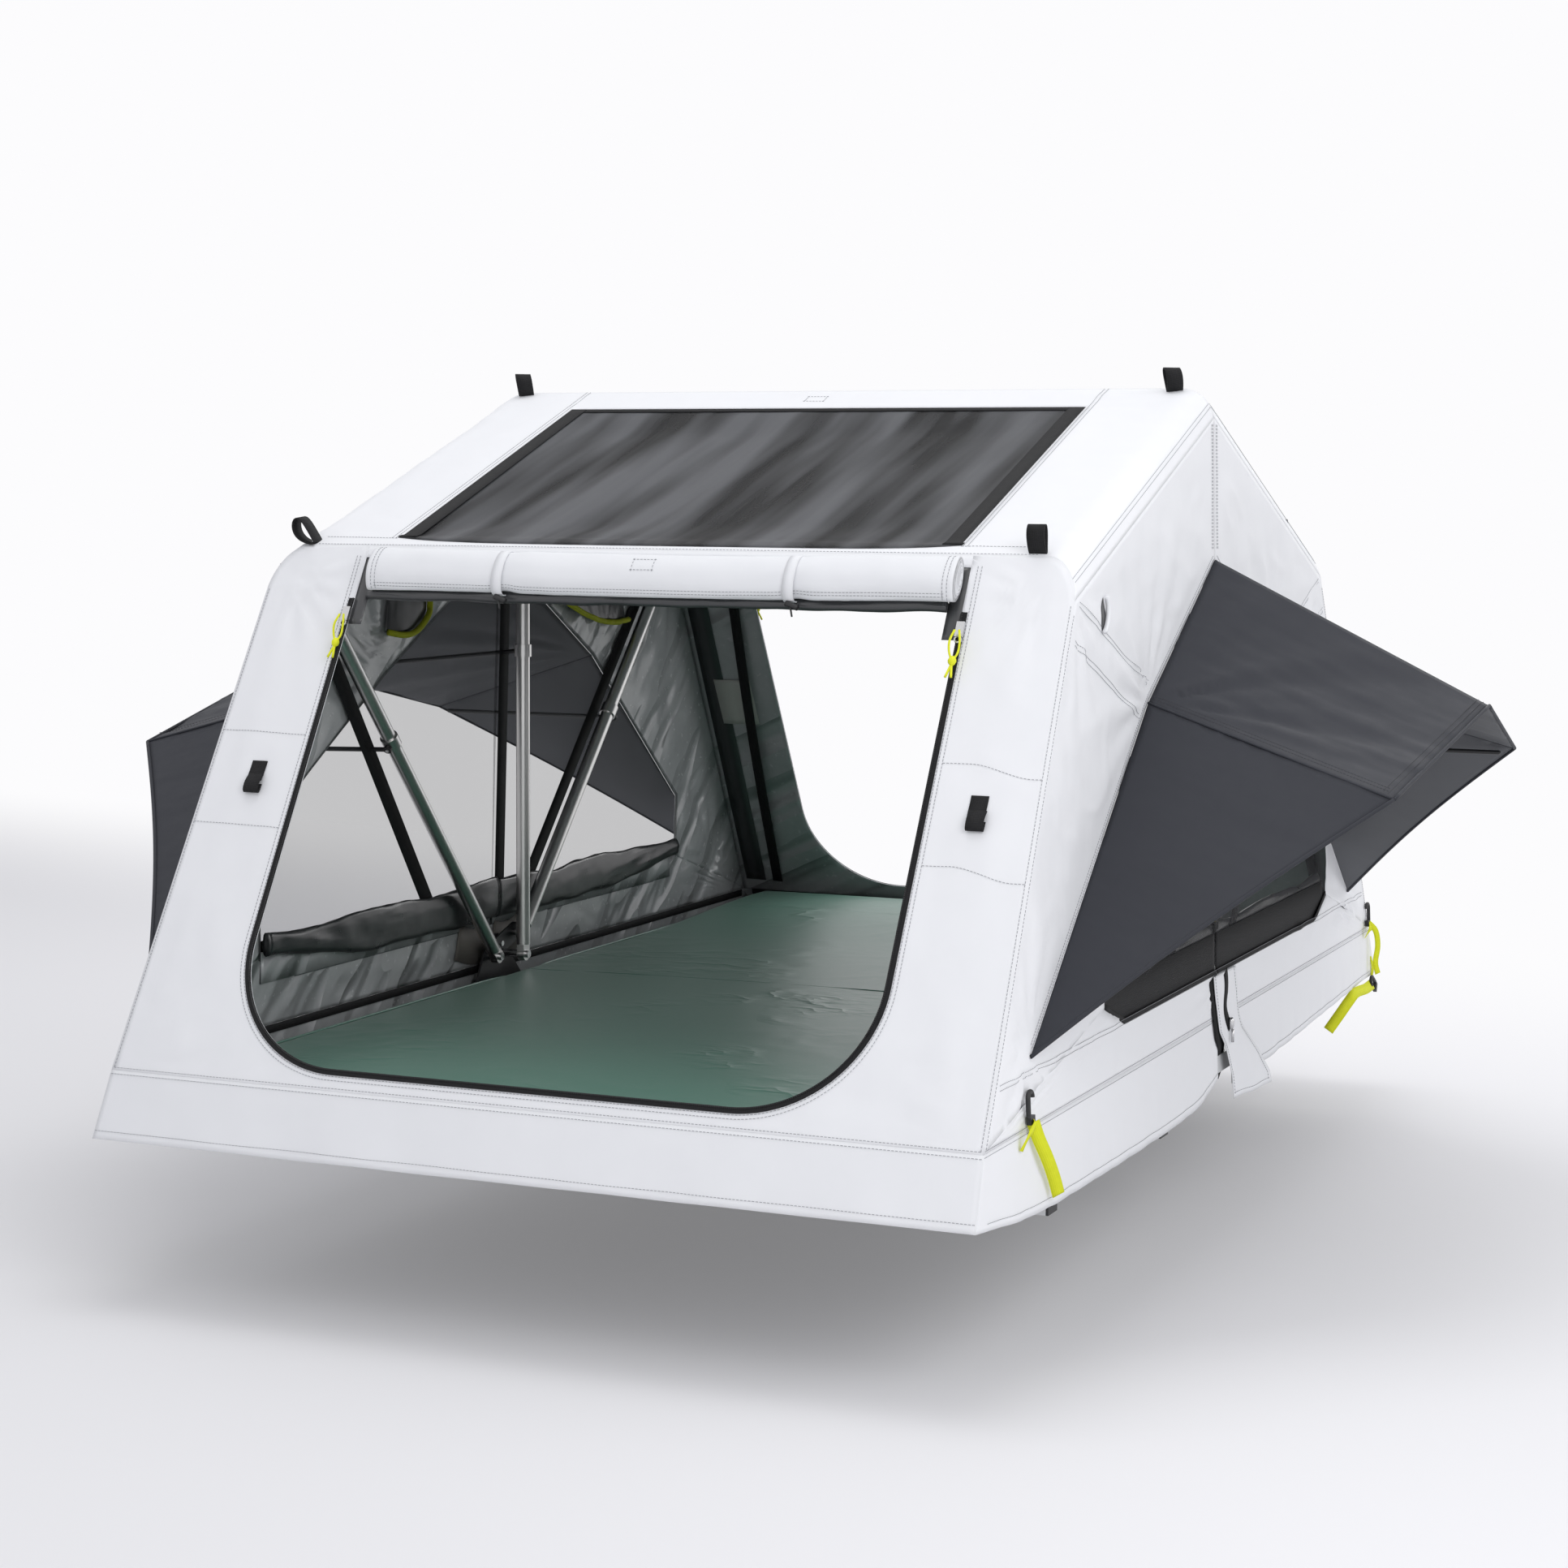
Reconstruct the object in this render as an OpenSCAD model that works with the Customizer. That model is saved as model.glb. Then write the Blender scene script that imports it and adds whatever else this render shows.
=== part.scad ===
// Soft roof top tent for two, opened out: a hinged floor, three folding hoops, a cloth body
// with a door at each end, and an awning over the mesh window on each side.
// X runs across the tent, Y along it with the front door at -Y, and Z up.
// The origin lies under the fold line, level with the underside of the mounting rails.

/* [Floor] */
// Width of the floor over its edge frame
floor_w = 1380; // [1300:10:1460]
// Length of one floor half, from the fold line to its outer edge
half_len = 1185; // [1140:5:1250]
// Thickness of the floor panel
panel_t = 30; // [24:1:40]
// Gap between the fold line and each floor half
fold_gap = 4; // [3:0.5:8]
// Width of the edge frame seen from above
frame_w = 25; // [18:1:35]
// Wall of the edge frame
frame_wall = 2.5; // [1.5:0.5:4]
// Height of a mounting rail
rail_h = 45; // [35:1:60]
// Width of a mounting rail
rail_w = 40; // [30:1:60]
// Wall of a mounting rail
rail_wall = 3; // [2:0.5:5]
// Width of the bolt slot along a rail
rail_slot = 9; // [7:0.5:12]
// Distance of the outer rail from the fold line
rail_far = 865; // [800:5:950]
// Distance of the inner rail from the fold line
rail_near = 305; // [200:5:400]
// Thickness of a rail end cap
cap_t = 4; // [2:0.5:8]

/* [Bed] */
// Thickness of the mattress at its crown
mattress_t = 70; // [40:1:80]
// Gap from the floor's side edge to the mattress
bed_side_gap = 58; // [56:1:90]
// Gap from the floor's end to the mattress
bed_end_gap = 80; // [60:1:120]
// Gap between the two mattress halves
bed_split = 12; // [6:1:30]
// Corner radius of the mattress
bed_corner_r = 45; // [30:1:80]
// How far the mattress sides draw in between its corners
bed_pull = 7; // [0:0.5:12]

/* [Hoops] */
// Outside diameter of a hoop tube
tube_d = 25; // [22:0.5:28]
// Wall of a hoop tube
tube_wall = 1.5; // [1:0.1:2.5]
// Bend radius of a hoop's corners, on the tube's centre line
bend_r = 60; // [45:1:80]
// Distance of the front and rear hoop pivots from the fold line
hub_dy = 48; // [44:1:60]
// Clearance above and below the folded hoops
layer_gap = 3.5; // [2:0.5:8]
// Clearance between the two layers of folded hoops
nest_gap = 7; // [5:0.5:12]
// Clearance between nested hoop legs
leg_gap = 4; // [3:0.5:8]
// Diameter of a hoop pivot bolt
bolt_d = 8; // [6:0.5:10]
// Diameter of a floor hinge pin
pin_d = 10; // [8:0.5:12]
// Thickness of the hub and hinge plates
plate_t = 4; // [3:0.5:6]

/* [Cloth body] */
// Distance of the front and rear roof edges from the fold line
bar_y = 714; // [640:2:780]
// Height of the front and rear roof edges above the floor
bar_up = 842; // [760:2:900]
// Height of the ridge above the floor
ridge_up = 1106; // [1040:2:1180]
// Height of the seam between wall and skirt above the floor
seam_up = 66; // [50:1:80]
// Height of the skirt below that seam
skirt_h = 96; // [85:1:100]
// How far the skirt flares out at the ends
flare_end = 43; // [20:1:50]
// How far the skirt flares out at the sides
flare_side = 5; // [2:1:12]
// How far the side walls lean in at the ridge
side_lean = 27; // [15:1:40]
// Radius of the rounded roof shoulders
shoulder_r = 56; // [45:1:64]
// Thickness of the cloth panels
cloth_t = 2; // [1.5:0.1:3]

/* [Doors] */
// Width of a door opening
door_w = 1010; // [800:10:1060]
// Distance of the door sill above the wall seam, along the wall
door_sill = 33; // [25:1:80]
// Distance of the door head below the roof edge, along the wall
door_head = 20; // [15:1:40]
// Corner radius of the door sill
door_r = 190; // [100:5:240]
// Width of the zip along the door edge
zip_w = 9; // [6:0.5:14]
// Height of the rolled up door flap
roll_h = 78; // [50:2:80]
// Depth of the rolled up door flap
roll_t = 46; // [30:2:60]
// Distance of each door flap tie from the middle
tie_x = 242; // [150:2:350]

/* [Skylight] */
// Width of the skylight opening
skylight_w = 944; // [700:4:1000]
// Distance of the skylight from the roof's lower edge, along the slope
skylight_low = 69; // [50:1:120]
// Distance of the skylight from the ridge, along the slope
skylight_top = 92; // [60:1:140]

/* [Windows and awnings] */
// Height of the window peak above the floor
peak_up = 826; // [760:2:860]
// Distance of the window shoulder from the fold line
kink_y = 391; // [340:1:440]
// Height of the window shoulder above the floor
kink_up = 614; // [560:2:660]
// Distance of the awning's lower tip from the fold line
tip_y = 966; // [900:2:990]
// Height of the awning's lower tip above the floor
tip_up = 164; // [140:2:200]
// How far forward of the others the left front tip is sewn
left_tip_on = 98; // [0:2:104]
// How far above the others the left front tip is sewn
left_tip_rise = 27; // [0:1:40]
// Height of the window sill above the floor
sill_up = 143; // [130:1:150]
// Half length of the window sill towards the front
sill_front = 523; // [480:1:560]
// Half length of the window sill towards the rear
sill_rear = 684; // [640:1:720]
// Reach of the awning's corners past the wall seam
corner_out = 390; // [300:2:450]
// Distance of the awning's corners from the fold line
corner_y = 504; // [460:2:540]
// Height of the awning's corners above the floor
corner_up = 494; // [450:2:520]
// Reach of the awning's middle past the wall seam
brow_out = 433; // [340:2:480]
// Height of the awning's middle above the floor
brow_up = 601; // [560:2:640]
// How far the window mesh laps behind the wall
mesh_lap = 10; // [6:1:16]
// Diameter of an awning rod
rod_d = 8; // [6:0.5:10]
// Height of the front and rear rod clips above the floor
clip_up = 506; // [470:2:530]
// Height of the middle rod clips above the floor
clip_mid_up = 642; // [600:2:680]

/* [Straps] */
// Width of the webbing
web_w = 25; // [20:1:30]
// Thickness of the webbing
web_t = 1.6; // [1:0.1:2.5]
// Height of a webbing loop
loop_h = 38; // [25:1:50]
// Distance of a front corner strap from the end seam
strap_inset = 165; // [120:5:300]
// Distance of a rear corner strap from the end seam
rear_strap_inset = 20; // [10:5:70]
// Length of a corner strap's tail
strap_len = 112; // [60:2:120]

/* [Hidden] */
$fn = 48;
far = 4000;

// Clearances shared by every fit
panel_fit = 0.2;
cloth_fit = 0.4;
run_fit = 0.05;

// Levels
floor_z = rail_h + panel_t;
bed_z = floor_z + mattress_t;
low_z = bed_z + layer_gap + tube_d / 2;
high_z = low_z + tube_d + nest_gap;
hinge_z = (low_z + high_z) / 2;
seam_z = floor_z + seam_up;
bar_z = floor_z + bar_up;
ridge_z = floor_z + ridge_up;

// The cloth seam lies so that the skirt just clears the floor's edge frame
skirt_end_len = norm([flare_end, skirt_h]);
seam_y = half_len + cloth_fit + cloth_t * skirt_end_len / skirt_h - flare_end * seam_up / skirt_h;
seam_x = floor_w / 2 + cloth_fit + cloth_t - flare_side * seam_up / skirt_h;

// Slopes of the end walls, the roof and the side walls
front_a = atan2(bar_z - seam_z, seam_y - bar_y);
front_len = norm([seam_y - bar_y, bar_z - seam_z]);
roof_a = atan2(ridge_z - bar_z, bar_y);
roof_len = norm([bar_y, ridge_z - bar_z]);
lean_a = atan2(side_lean, ridge_z - seam_z);
shoulder_sweep = 80;
shoulder_drop = shoulder_r * (1 - cos(shoulder_sweep));
roof_half = seam_x - side_lean + cloth_t;
flat_half = roof_half - shoulder_r * sin(shoulder_sweep);

// Hoop legs: the middle hoop nests inside the other two
leg_room = 2.5;
leg_x = seam_x - side_lean - cloth_t - leg_room - tube_d / 2;
mid_x = leg_x - tube_d - leg_gap;
bar_room = tube_d / 2 + cloth_t + cloth_fit;
front_in = [sin(front_a), -cos(front_a)];
roof_in = [sin(roof_a), -cos(roof_a)];
bar_c = [-bar_y, bar_z] + (front_in + roof_in) * bar_room / (1 + front_in * roof_in);
ridge_c = [0, ridge_z - bar_room / cos(roof_a)];

// Pivot and bar of each hoop in the YZ plane: front, middle, rear
PIVOT = [[-hub_dy, low_z], [0, low_z], [hub_dy, high_z]];
BAR = [bar_c, ridge_c, [-bar_c[0], bar_c[1]]];
LEG = [leg_x, mid_x, leg_x];
function hoop_dir(k) = (BAR[k] - PIVOT[k]) / norm(BAR[k] - PIVOT[k]);
function hoop_len(k) = norm(BAR[k] - PIVOT[k]);
function hoop_lean(k) = atan2(-hoop_dir(k)[0], hoop_dir(k)[1]);
eye_r = tube_d / 2;
eye_t = 14;
plug_len = 40;
fit_gap = 10;
hub_x = leg_x + tube_d / 2 + 3;
head_t = 5;
hinge_x = hub_x + plate_t + head_t + 1.5;

// Points of a right-hand awning, front half: lower tip, shoulder, peak, brow, corner
function wall_x(z) = seam_x - (z - seam_z) * tan(lean_a);
function on_wall(y, up) = [wall_x(floor_z + up) + cloth_fit, y, floor_z + up];
half_fit = 0.5;
awning_end = half_fit + 0.6 * cloth_t;
AWNING = [on_wall(-tip_y, tip_up), on_wall(-kink_y, kink_up), on_wall(-awning_end, peak_up),
    [seam_x + brow_out, -awning_end, floor_z + brow_up],
    [seam_x + corner_out, -corner_y, floor_z + corner_up]];
awning_in = cloth_t * [-0.09, 0.55, -0.83];

// Awning rods: seat on the leg, the point aimed at, and the swing axis, for side +1 or -1
rod_offset = tube_d / 2 + rod_d / 2 + 3.5;
rod_short = 12;
rod_inset = 20;
rod_lift = 5;
rod_drop = 12;
function clip_z(k) = floor_z + (k == 1 ? clip_mid_up : clip_up);
function rod_seat(k, s) =
    let(run = (clip_z(k) - PIVOT[k][1]) / hoop_dir(k)[1])
    [s * LEG[k], PIVOT[k][0] + run * hoop_dir(k)[0], clip_z(k)];
function rod_aim(k, s) = k == 1
    ? [s * (AWNING[3][0] - rod_short), -rod_inset, AWNING[3][2] - rod_drop]
    : [s * (AWNING[4][0] - rod_short), (k - 1) * (corner_y - rod_inset), AWNING[4][2] + rod_lift];
function rod_dir(k, s) = let(d = rod_aim(k, s) - rod_seat(k, s)) d / norm(d);
function rod_len(k, s) = norm(rod_aim(k, s) - rod_seat(k, s));
function leg_down(k) = [0, -hoop_dir(k)[0], -hoop_dir(k)[1]];
function rod_axis(k, s) = let(a = cross(rod_dir(k, s), leg_down(k))) a / norm(a);
// The rod sits on the outer side of a leaning leg and on the rear side of the upright one
function rod_side(k, s) = k == 0 ? -s : s;
function rod_pivot(k, s) = rod_seat(k, s) + rod_side(k, s) * rod_offset * rod_axis(k, s);
eye_pin_r = 3;

cloth_white = [0.93, 0.94, 0.95];
cloth_dark = [0.17, 0.18, 0.2];
mesh_grey = [0.25, 0.25, 0.26];
strap_black = [0.06, 0.06, 0.06];
strap_yellow = [0.9, 0.92, 0.1];
aluminium = [0.72, 0.73, 0.74];
bed_green = [0.3, 0.45, 0.38];

// Helpers
module both_sides() {
    children();
    mirror([1, 0, 0]) children();
}
module to_rear() {
    mirror([0, 1, 0]) children();
}
// Lays 2D work on the outer face of the front wall, x across and y up the slope
module on_front() {
    translate([0, -seam_y, seam_z]) rotate([front_a, 0, 0]) children();
}
// Lays work on the front roof slope, y up the slope and z outwards
module on_roof() {
    translate([0, -bar_y, bar_z]) rotate([roof_a, 0, 0]) children();
}
// Lays 2D work on the right-hand wall, x along the tent and y up the wall, z outwards
module on_right() {
    translate([seam_x, 0, seam_z]) rotate([0, -lean_a, 0]) rotate([90, 0, 90]) children();
}
// The same for the right-hand skirt, y down from the seam
module on_right_skirt() {
    translate([seam_x, 0, seam_z]) rotate([0, -atan2(flare_side, skirt_h), 0])
        rotate([90, 0, 90]) children();
}
module slot_2d(len, r) {
    translate([0, -r]) square([len, 2 * r]);
    circle(r);
    translate([len, 0]) circle(r);
}
// A bar with round ends between two points
module link_2d(p, q, r) {
    d = q - p;
    translate(p) rotate(atan2(d[1], d[0])) slot_2d(norm(d), r);
}
// A closed solid through rings of points, with flat fans over its ends
module loft(rings) {
    n = len(rings[0]);
    m = len(rings);
    first = rings[0];
    last = rings[m - 1];
    points = concat([for (r = rings) each r], [mean(first)], [mean(last)]);
    walls = [for (i = [0:m - 2], j = [0:n - 1])
        let(a = i * n + j, b = i * n + (j + 1) % n)
        each [[a, b, b + n], [a, b + n, a + n]]];
    ends = [for (j = [0:n - 1])
        each [[n * m, (j + 1) % n, j], [n * m + 1, (m - 1) * n + j, (m - 1) * n + (j + 1) % n]]];
    polyhedron(points, concat(walls, ends));
}
function mean(v, i = 0, sum = undef) = i == len(v)
    ? sum / len(v)
    : mean(v, i + 1, sum == undef ? v[i] : sum + v[i]);
// A thin sheet over a strip of triangles, thickened along one direction
module sheet(points, tris, rim, thick) {
    n = len(points);
    under = [for (p = points) p + thick];
    back = [for (t = tris) [t[2] + n, t[1] + n, t[0] + n]];
    edge = [for (i = [0:len(rim) - 1])
        let(a = rim[i], b = rim[(i + 1) % len(rim)])
        each [[b, a, a + n], [b, a + n, b + n]]];
    polyhedron(concat(points, under), concat(tris, back, edge));
}

// Floor
module floor_half() {
    translate([-floor_w / 2, -half_len, rail_h]) children();
}
half_run = half_len - fold_gap;
module panel() {
    in = frame_w + panel_fit;
    tongue = frame_wall + panel_fit;
    floor_half() {
        translate([in, in, 0]) cube([floor_w - 2 * in, half_run - 2 * in, panel_t]);
        translate([tongue, tongue, tongue])
            cube([floor_w - 2 * tongue, half_run - 2 * tongue, panel_t - 2 * tongue]);
    }
}
module edge_frame() {
    floor_half() difference() {
        cube([floor_w, half_run, panel_t]);
        translate([frame_w, frame_w, -1])
            cube([floor_w - 2 * frame_w, half_run - 2 * frame_w, panel_t + 2]);
        translate([frame_wall, frame_wall, frame_wall])
            cube([floor_w - 2 * frame_wall, half_run - 2 * frame_wall, panel_t - 2 * frame_wall]);
    }
}
module base_panel() {
    color("dimgray") panel();
}
module base_frame() {
    color(aluminium) edge_frame();
}
module fold_panel() {
    color("dimgray") to_rear() panel();
}
module fold_frame() {
    color(aluminium) to_rear() edge_frame();
}
rail_len = floor_w - 8;
module at_rails() {
    for (y = [-rail_far, -rail_near]) translate([0, y, 0]) children();
}
module rail_cavity(len) {
    translate([-len / 2, -rail_w / 2 + rail_wall, rail_wall])
        cube([len, rail_w - 2 * rail_wall, rail_h - 2 * rail_wall]);
}
module mount_rails() {
    color(aluminium) at_rails() difference() {
        translate([-rail_len / 2, -rail_w / 2, 0]) cube([rail_len, rail_w, rail_h]);
        rail_cavity(rail_len + 2);
        translate([-rail_len / 2 - 1, -rail_slot / 2, -1]) cube([rail_len + 2, rail_slot, rail_wall + 2]);
    }
}
cap_plug = 15;
module rail_caps() {
    color(strap_black) at_rails() both_sides() {
        translate([rail_len / 2, -rail_w / 2, 0]) cube([cap_t, rail_w, rail_h]);
        translate([rail_len / 2 - cap_plug, -rail_w / 2 + rail_wall + panel_fit, rail_wall + panel_fit])
            cube([cap_plug, rail_w - 2 * (rail_wall + panel_fit), rail_h - 2 * (rail_wall + panel_fit)]);
    }
}

// Hub: plates on the fixed half, hinge plates on the fold-out half, pins and bolts
foot_dy = 72;
foot_w = 30;
plate_r = 18;
foot_gap = 14;
module plate_at(x, t) {
    translate([x, 0, 0]) rotate([90, 0, 90]) linear_extrude(t) children();
}
module foot_flange(x, y0, y1) {
    translate([x + plate_t - foot_w, y0, floor_z]) cube([foot_w, y1 - y0, plate_t]);
}
foot_a = [-foot_gap - plate_r, floor_z + plate_r];
foot_b = [-foot_gap - foot_dy, floor_z + plate_r];
module hub_plate_2d() {
    link_2d(PIVOT[0], foot_b, plate_r);
    link_2d(PIVOT[0], [0, hinge_z], plate_r);
    link_2d([0, hinge_z], PIVOT[2], plate_r);
    link_2d(foot_a, foot_b, plate_r);
    link_2d([0, hinge_z], foot_a, plate_r);
    polygon([PIVOT[0], [0, hinge_z], foot_a, foot_b]);
}
module hub_plates() {
    color("darkslategray") both_sides() {
        difference() {
            plate_at(hub_x, plate_t) hub_plate_2d();
            for (p = PIVOT) along_x(p, hub_x - 1, plate_t + 2, bolt_d / 2 + run_fit);
            along_x([0, hinge_z], hub_x - 1, plate_t + 2, pin_d / 2 + run_fit);
        }
        foot_flange(hub_x, foot_b[0] - plate_r, foot_a[0] + plate_r);
    }
}
module along_x(p, x, len, r) {
    translate([x, p[0], p[1]]) rotate([0, 90, 0]) cylinder(r = r, h = len);
}
module hinge_plate_2d() {
    a = [-foot_a[0], foot_a[1]];
    b = [-foot_b[0], foot_b[1]];
    link_2d([0, hinge_z], a, plate_r);
    link_2d([0, hinge_z], b, plate_r);
    link_2d(a, b, plate_r);
    polygon([[0, hinge_z], a, b]);
}
module hinge_plates() {
    color("darkslategray") both_sides() {
        difference() {
            plate_at(hinge_x, plate_t) hinge_plate_2d();
            along_x([0, hinge_z], hinge_x - 1, plate_t + 2, pin_d / 2 + run_fit);
        }
        foot_flange(hinge_x, -foot_a[0] - plate_r, -foot_b[0] + plate_r);
    }
}
pin_end = 2;
collar_r = 8;
module hinge_pins() {
    color("silver") both_sides() {
        along_x([0, hinge_z], hub_x - pin_end, hinge_x + plate_t - hub_x + pin_end + panel_fit, pin_d / 2);
        along_x([0, hinge_z], hinge_x + plate_t + panel_fit, head_t, collar_r);
        along_x([0, hinge_z], hub_x + plate_t + panel_fit, hinge_x - hub_x - plate_t - 2 * panel_fit, collar_r);
    }
}
nut_t = 5;
head_r = 7;
module pivot_bolts() {
    color("silver") both_sides() for (k = [0:2]) {
        inner = LEG[k] - eye_t / 2 - panel_fit;
        along_x(PIVOT[k], inner - nut_t, hub_x + plate_t - inner + nut_t + head_t - pin_end, bolt_d / 2);
        along_x(PIVOT[k], inner - nut_t, nut_t, head_r);
        along_x(PIVOT[k], hub_x + plate_t + panel_fit, head_t - pin_end, head_r);
        along_x(PIVOT[k], LEG[k] + eye_t / 2 + panel_fit, hub_x - LEG[k] - eye_t / 2 - 2 * panel_fit, head_r);
    }
}

// Hoops
module in_hoop(k) {
    translate([0, PIVOT[k][0], PIVOT[k][1]]) rotate([hoop_lean(k), 0, 0]) children();
}
module hoop_run(k, r) {
    top = hoop_len(k);
    half = LEG[k] - bend_r;
    both_sides() {
        translate([LEG[k], 0, eye_r + fit_gap]) cylinder(r = r, h = top - bend_r - eye_r - fit_gap);
        translate([half, 0, top - bend_r]) rotate([90, 0, 0])
            rotate_extrude(angle = 90) translate([bend_r, 0]) circle(r);
        translate([half, 0, top]) rotate([0, -90, 0]) cylinder(r = r, h = half + tube_d);
    }
}
module hoop(k) {
    color(aluminium) in_hoop(k) difference() {
        hoop_run(k, tube_d / 2);
        hoop_run(k, tube_d / 2 - tube_wall);
    }
}
module front_hoop() {
    hoop(0);
}
module mid_hoop() {
    hoop(1);
}
module rear_hoop() {
    hoop(2);
}
// Eye ends plugged into the legs, and the clips that carry the awning rods
module hoop_fittings(k) {
    color("dimgray") in_hoop(k) both_sides() translate([LEG[k], 0, 0]) difference() {
        union() {
            translate([-eye_t / 2, 0, 0]) rotate([0, 90, 0]) cylinder(r = eye_r, h = eye_t);
            translate([-eye_t / 2, -eye_r + 1, 0]) cube([eye_t, 2 * eye_r - 2, eye_r + fit_gap / 2]);
            translate([0, 0, eye_r + fit_gap / 2]) cylinder(r = tube_d / 2, h = fit_gap / 2 - panel_fit);
            translate([0, 0, eye_r + fit_gap / 2])
                cylinder(r = tube_d / 2 - tube_wall - panel_fit, h = plug_len);
        }
        translate([-eye_t, 0, 0]) rotate([0, 90, 0]) cylinder(r = bolt_d / 2 + run_fit, h = 2 * eye_t);
    }
    for (s = [-1, 1]) rod_clip(k, s);
}
clip_h = 22;
clip_wall = 3;
clip_bore = tube_d / 2 + panel_fit;
module rod_frame(k, s, at) {
    z = rod_axis(k, s);
    x = rod_dir(k, s);
    y = cross(z, x);
    multmatrix([[x[0], y[0], z[0], at[0]], [x[1], y[1], z[1], at[1]], [x[2], y[2], z[2], at[2]]])
        children();
}
module rod_clip(k, s) {
    q = rod_side(k, s);
    down = rod_angle(k, s);
    color(strap_black) difference() {
        rod_frame(k, s, rod_seat(k, s)) {
            rotate([0, 0, down]) rotate([0, 90, 0])
                translate([0, 0, -clip_h / 2]) cylinder(r = clip_bore + clip_wall, h = clip_h);
            mirror([0, 0, q < 0 ? 1 : 0]) {
                translate([0, 0, clip_bore]) cylinder(r = eye_pin_r, h = rod_offset + rod_eye_t / 2 + 2 - clip_bore);
            }
        }
        rod_frame(k, s, rod_seat(k, s)) rotate([0, 0, down]) rotate([0, 90, 0])
            translate([0, 0, -clip_h]) cylinder(r = clip_bore, h = 2 * clip_h);
    }
}
// Angle from a rod at rest to the down direction of its leg
function rod_angle(k, s) = acos(rod_dir(k, s) * leg_down(k));
module front_hoop_fittings() {
    hoop_fittings(0);
}
module mid_hoop_fittings() {
    hoop_fittings(1);
}
module rear_hoop_fittings() {
    hoop_fittings(2);
}
rod_eye_t = 6;
rod_eye_r = 7;
module awning_rod(k, s) {
    color(strap_black) rod_frame(k, s, rod_pivot(k, s)) difference() {
        union() {
            translate([0, 0, -rod_eye_t / 2]) cylinder(r = rod_eye_r, h = rod_eye_t);
            rotate([0, 90, 0]) cylinder(r = rod_d / 2, h = rod_len(k, s) - rod_short);
            translate([rod_len(k, s) - rod_short, 0, 0]) sphere(r = rod_d / 2);
        }
        translate([0, 0, -rod_eye_t]) cylinder(r = eye_pin_r + run_fit, h = 2 * rod_eye_t);
    }
}
module awning_rod_front_left() {
    awning_rod(0, -1);
}
module awning_rod_front_right() {
    awning_rod(0, 1);
}
module awning_rod_mid_left() {
    awning_rod(1, -1);
}
module awning_rod_mid_right() {
    awning_rod(1, 1);
}
module awning_rod_rear_left() {
    awning_rod(2, -1);
}
module awning_rod_rear_right() {
    awning_rod(2, 1);
}

// Mattress: rings round a rounded rectangle, drawn in between the corners and crowned on top
bed_half = floor_w / 2 - bed_side_gap;
bed_len = half_len - bed_end_gap - bed_split / 2;
edge_rise = 0.86;
function side_run(p, q, inward, pull, m) =
    [for (j = [1:m - 1]) let(u = j / m) p + (q - p) * u + inward * pull * sin(180 * u)];
function bed_ring(inset, z, pull) =
    let(a = bed_half - inset, b = bed_len / 2 - inset, r = max(bed_corner_r - inset, 4),
        c = [[a - r, b - r], [r - a, b - r], [r - a, r - b], [a - r, r - b]],
        inward = [[0, -1], [1, 0], [0, 1], [-1, 0]])
    [for (q = [0:3]) each concat(
        [for (i = [0:3]) let(w = q * 90 + i * 30) c[q] + r * [cos(w), sin(w)]],
        side_run(c[q] + r * [cos(q * 90 + 90), sin(q * 90 + 90)],
            c[(q + 1) % 4] + r * [cos(q * 90 + 90), sin(q * 90 + 90)], inward[q], pull, 8))];
function lift(ring, z) = [for (p = ring) [p[0], p[1], z]];
module mattress() {
    t = mattress_t;
    full = bed_len / 2 - 6;
    skirt = [[9, 0], [1, 0.12], [4, 0.45], [0, 0.72], [8, 0.83], [24, edge_rise]];
    crown = [60, 140, 240, 360, full];
    rings = concat(
        [for (s = skirt) lift(bed_ring(s[0], 0, bed_pull), s[1] * t)],
        [for (c = crown) let(u = 1 - c / full)
            lift(bed_ring(c, 0, 0), t * (1 - (1 - edge_rise) * u * u))]);
    translate([0, -bed_split / 2 - bed_len / 2, floor_z + panel_fit])
        loft([for (r = rings) [for (p = r) [p[0], p[1], p[2] * (t - panel_fit) / t]]]);
}
module mattress_front() {
    color(bed_green) mattress();
}
module mattress_rear() {
    color(bed_green) to_rear() mattress();
}

// End walls with their U-shaped doors
wall_top = front_len - 2;
seam_fit = 0.8;
function shoulder_arc(top, n = 6) =
    [for (i = [0:n]) let(w = shoulder_sweep * (1 - i / n))
        [flat_half + shoulder_r * sin(w), top - shoulder_r * (1 - cos(w))]];
function back(pts) = [for (i = [len(pts) - 1:-1:0]) pts[i]];
function flip(pts) = [for (p = back(pts)) [-p[0], p[1]]];
module end_wall_2d() {
    arc = shoulder_arc(wall_top);
    polygon(concat([[-seam_x, seam_fit], [seam_x, seam_fit]], arc, flip(arc)));
}
module door_2d(grow) {
    half = door_w / 2 + grow;
    r = door_r + grow;
    sill = door_sill - grow;
    head = front_len - door_head + grow;
    translate([-half, sill + r]) square([2 * half, head - sill - r]);
    translate([r - half, sill]) square([2 * (half - r), r + 1]);
    for (x = [r - half, half - r]) translate([x, sill + r]) circle(r);
}
module end_wall() {
    on_front() translate([0, 0, -cloth_t]) linear_extrude(cloth_t) difference() {
        end_wall_2d();
        door_2d(0);
    }
}
module front_wall() {
    color(cloth_white) end_wall();
}
module rear_wall() {
    color(cloth_white) to_rear() end_wall();
}
zip_t = 1.6;
roll_v = front_len - door_head - roll_h / 2 + 8;
roll_low = roll_v - roll_h / 2;
module door_zip() {
    on_front() translate([0, 0, panel_fit]) linear_extrude(zip_t) intersection() {
        difference() {
            door_2d(zip_w);
            door_2d(0);
        }
        translate([-door_w, 0]) square([2 * door_w, roll_low - 4]);
    }
}
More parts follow.
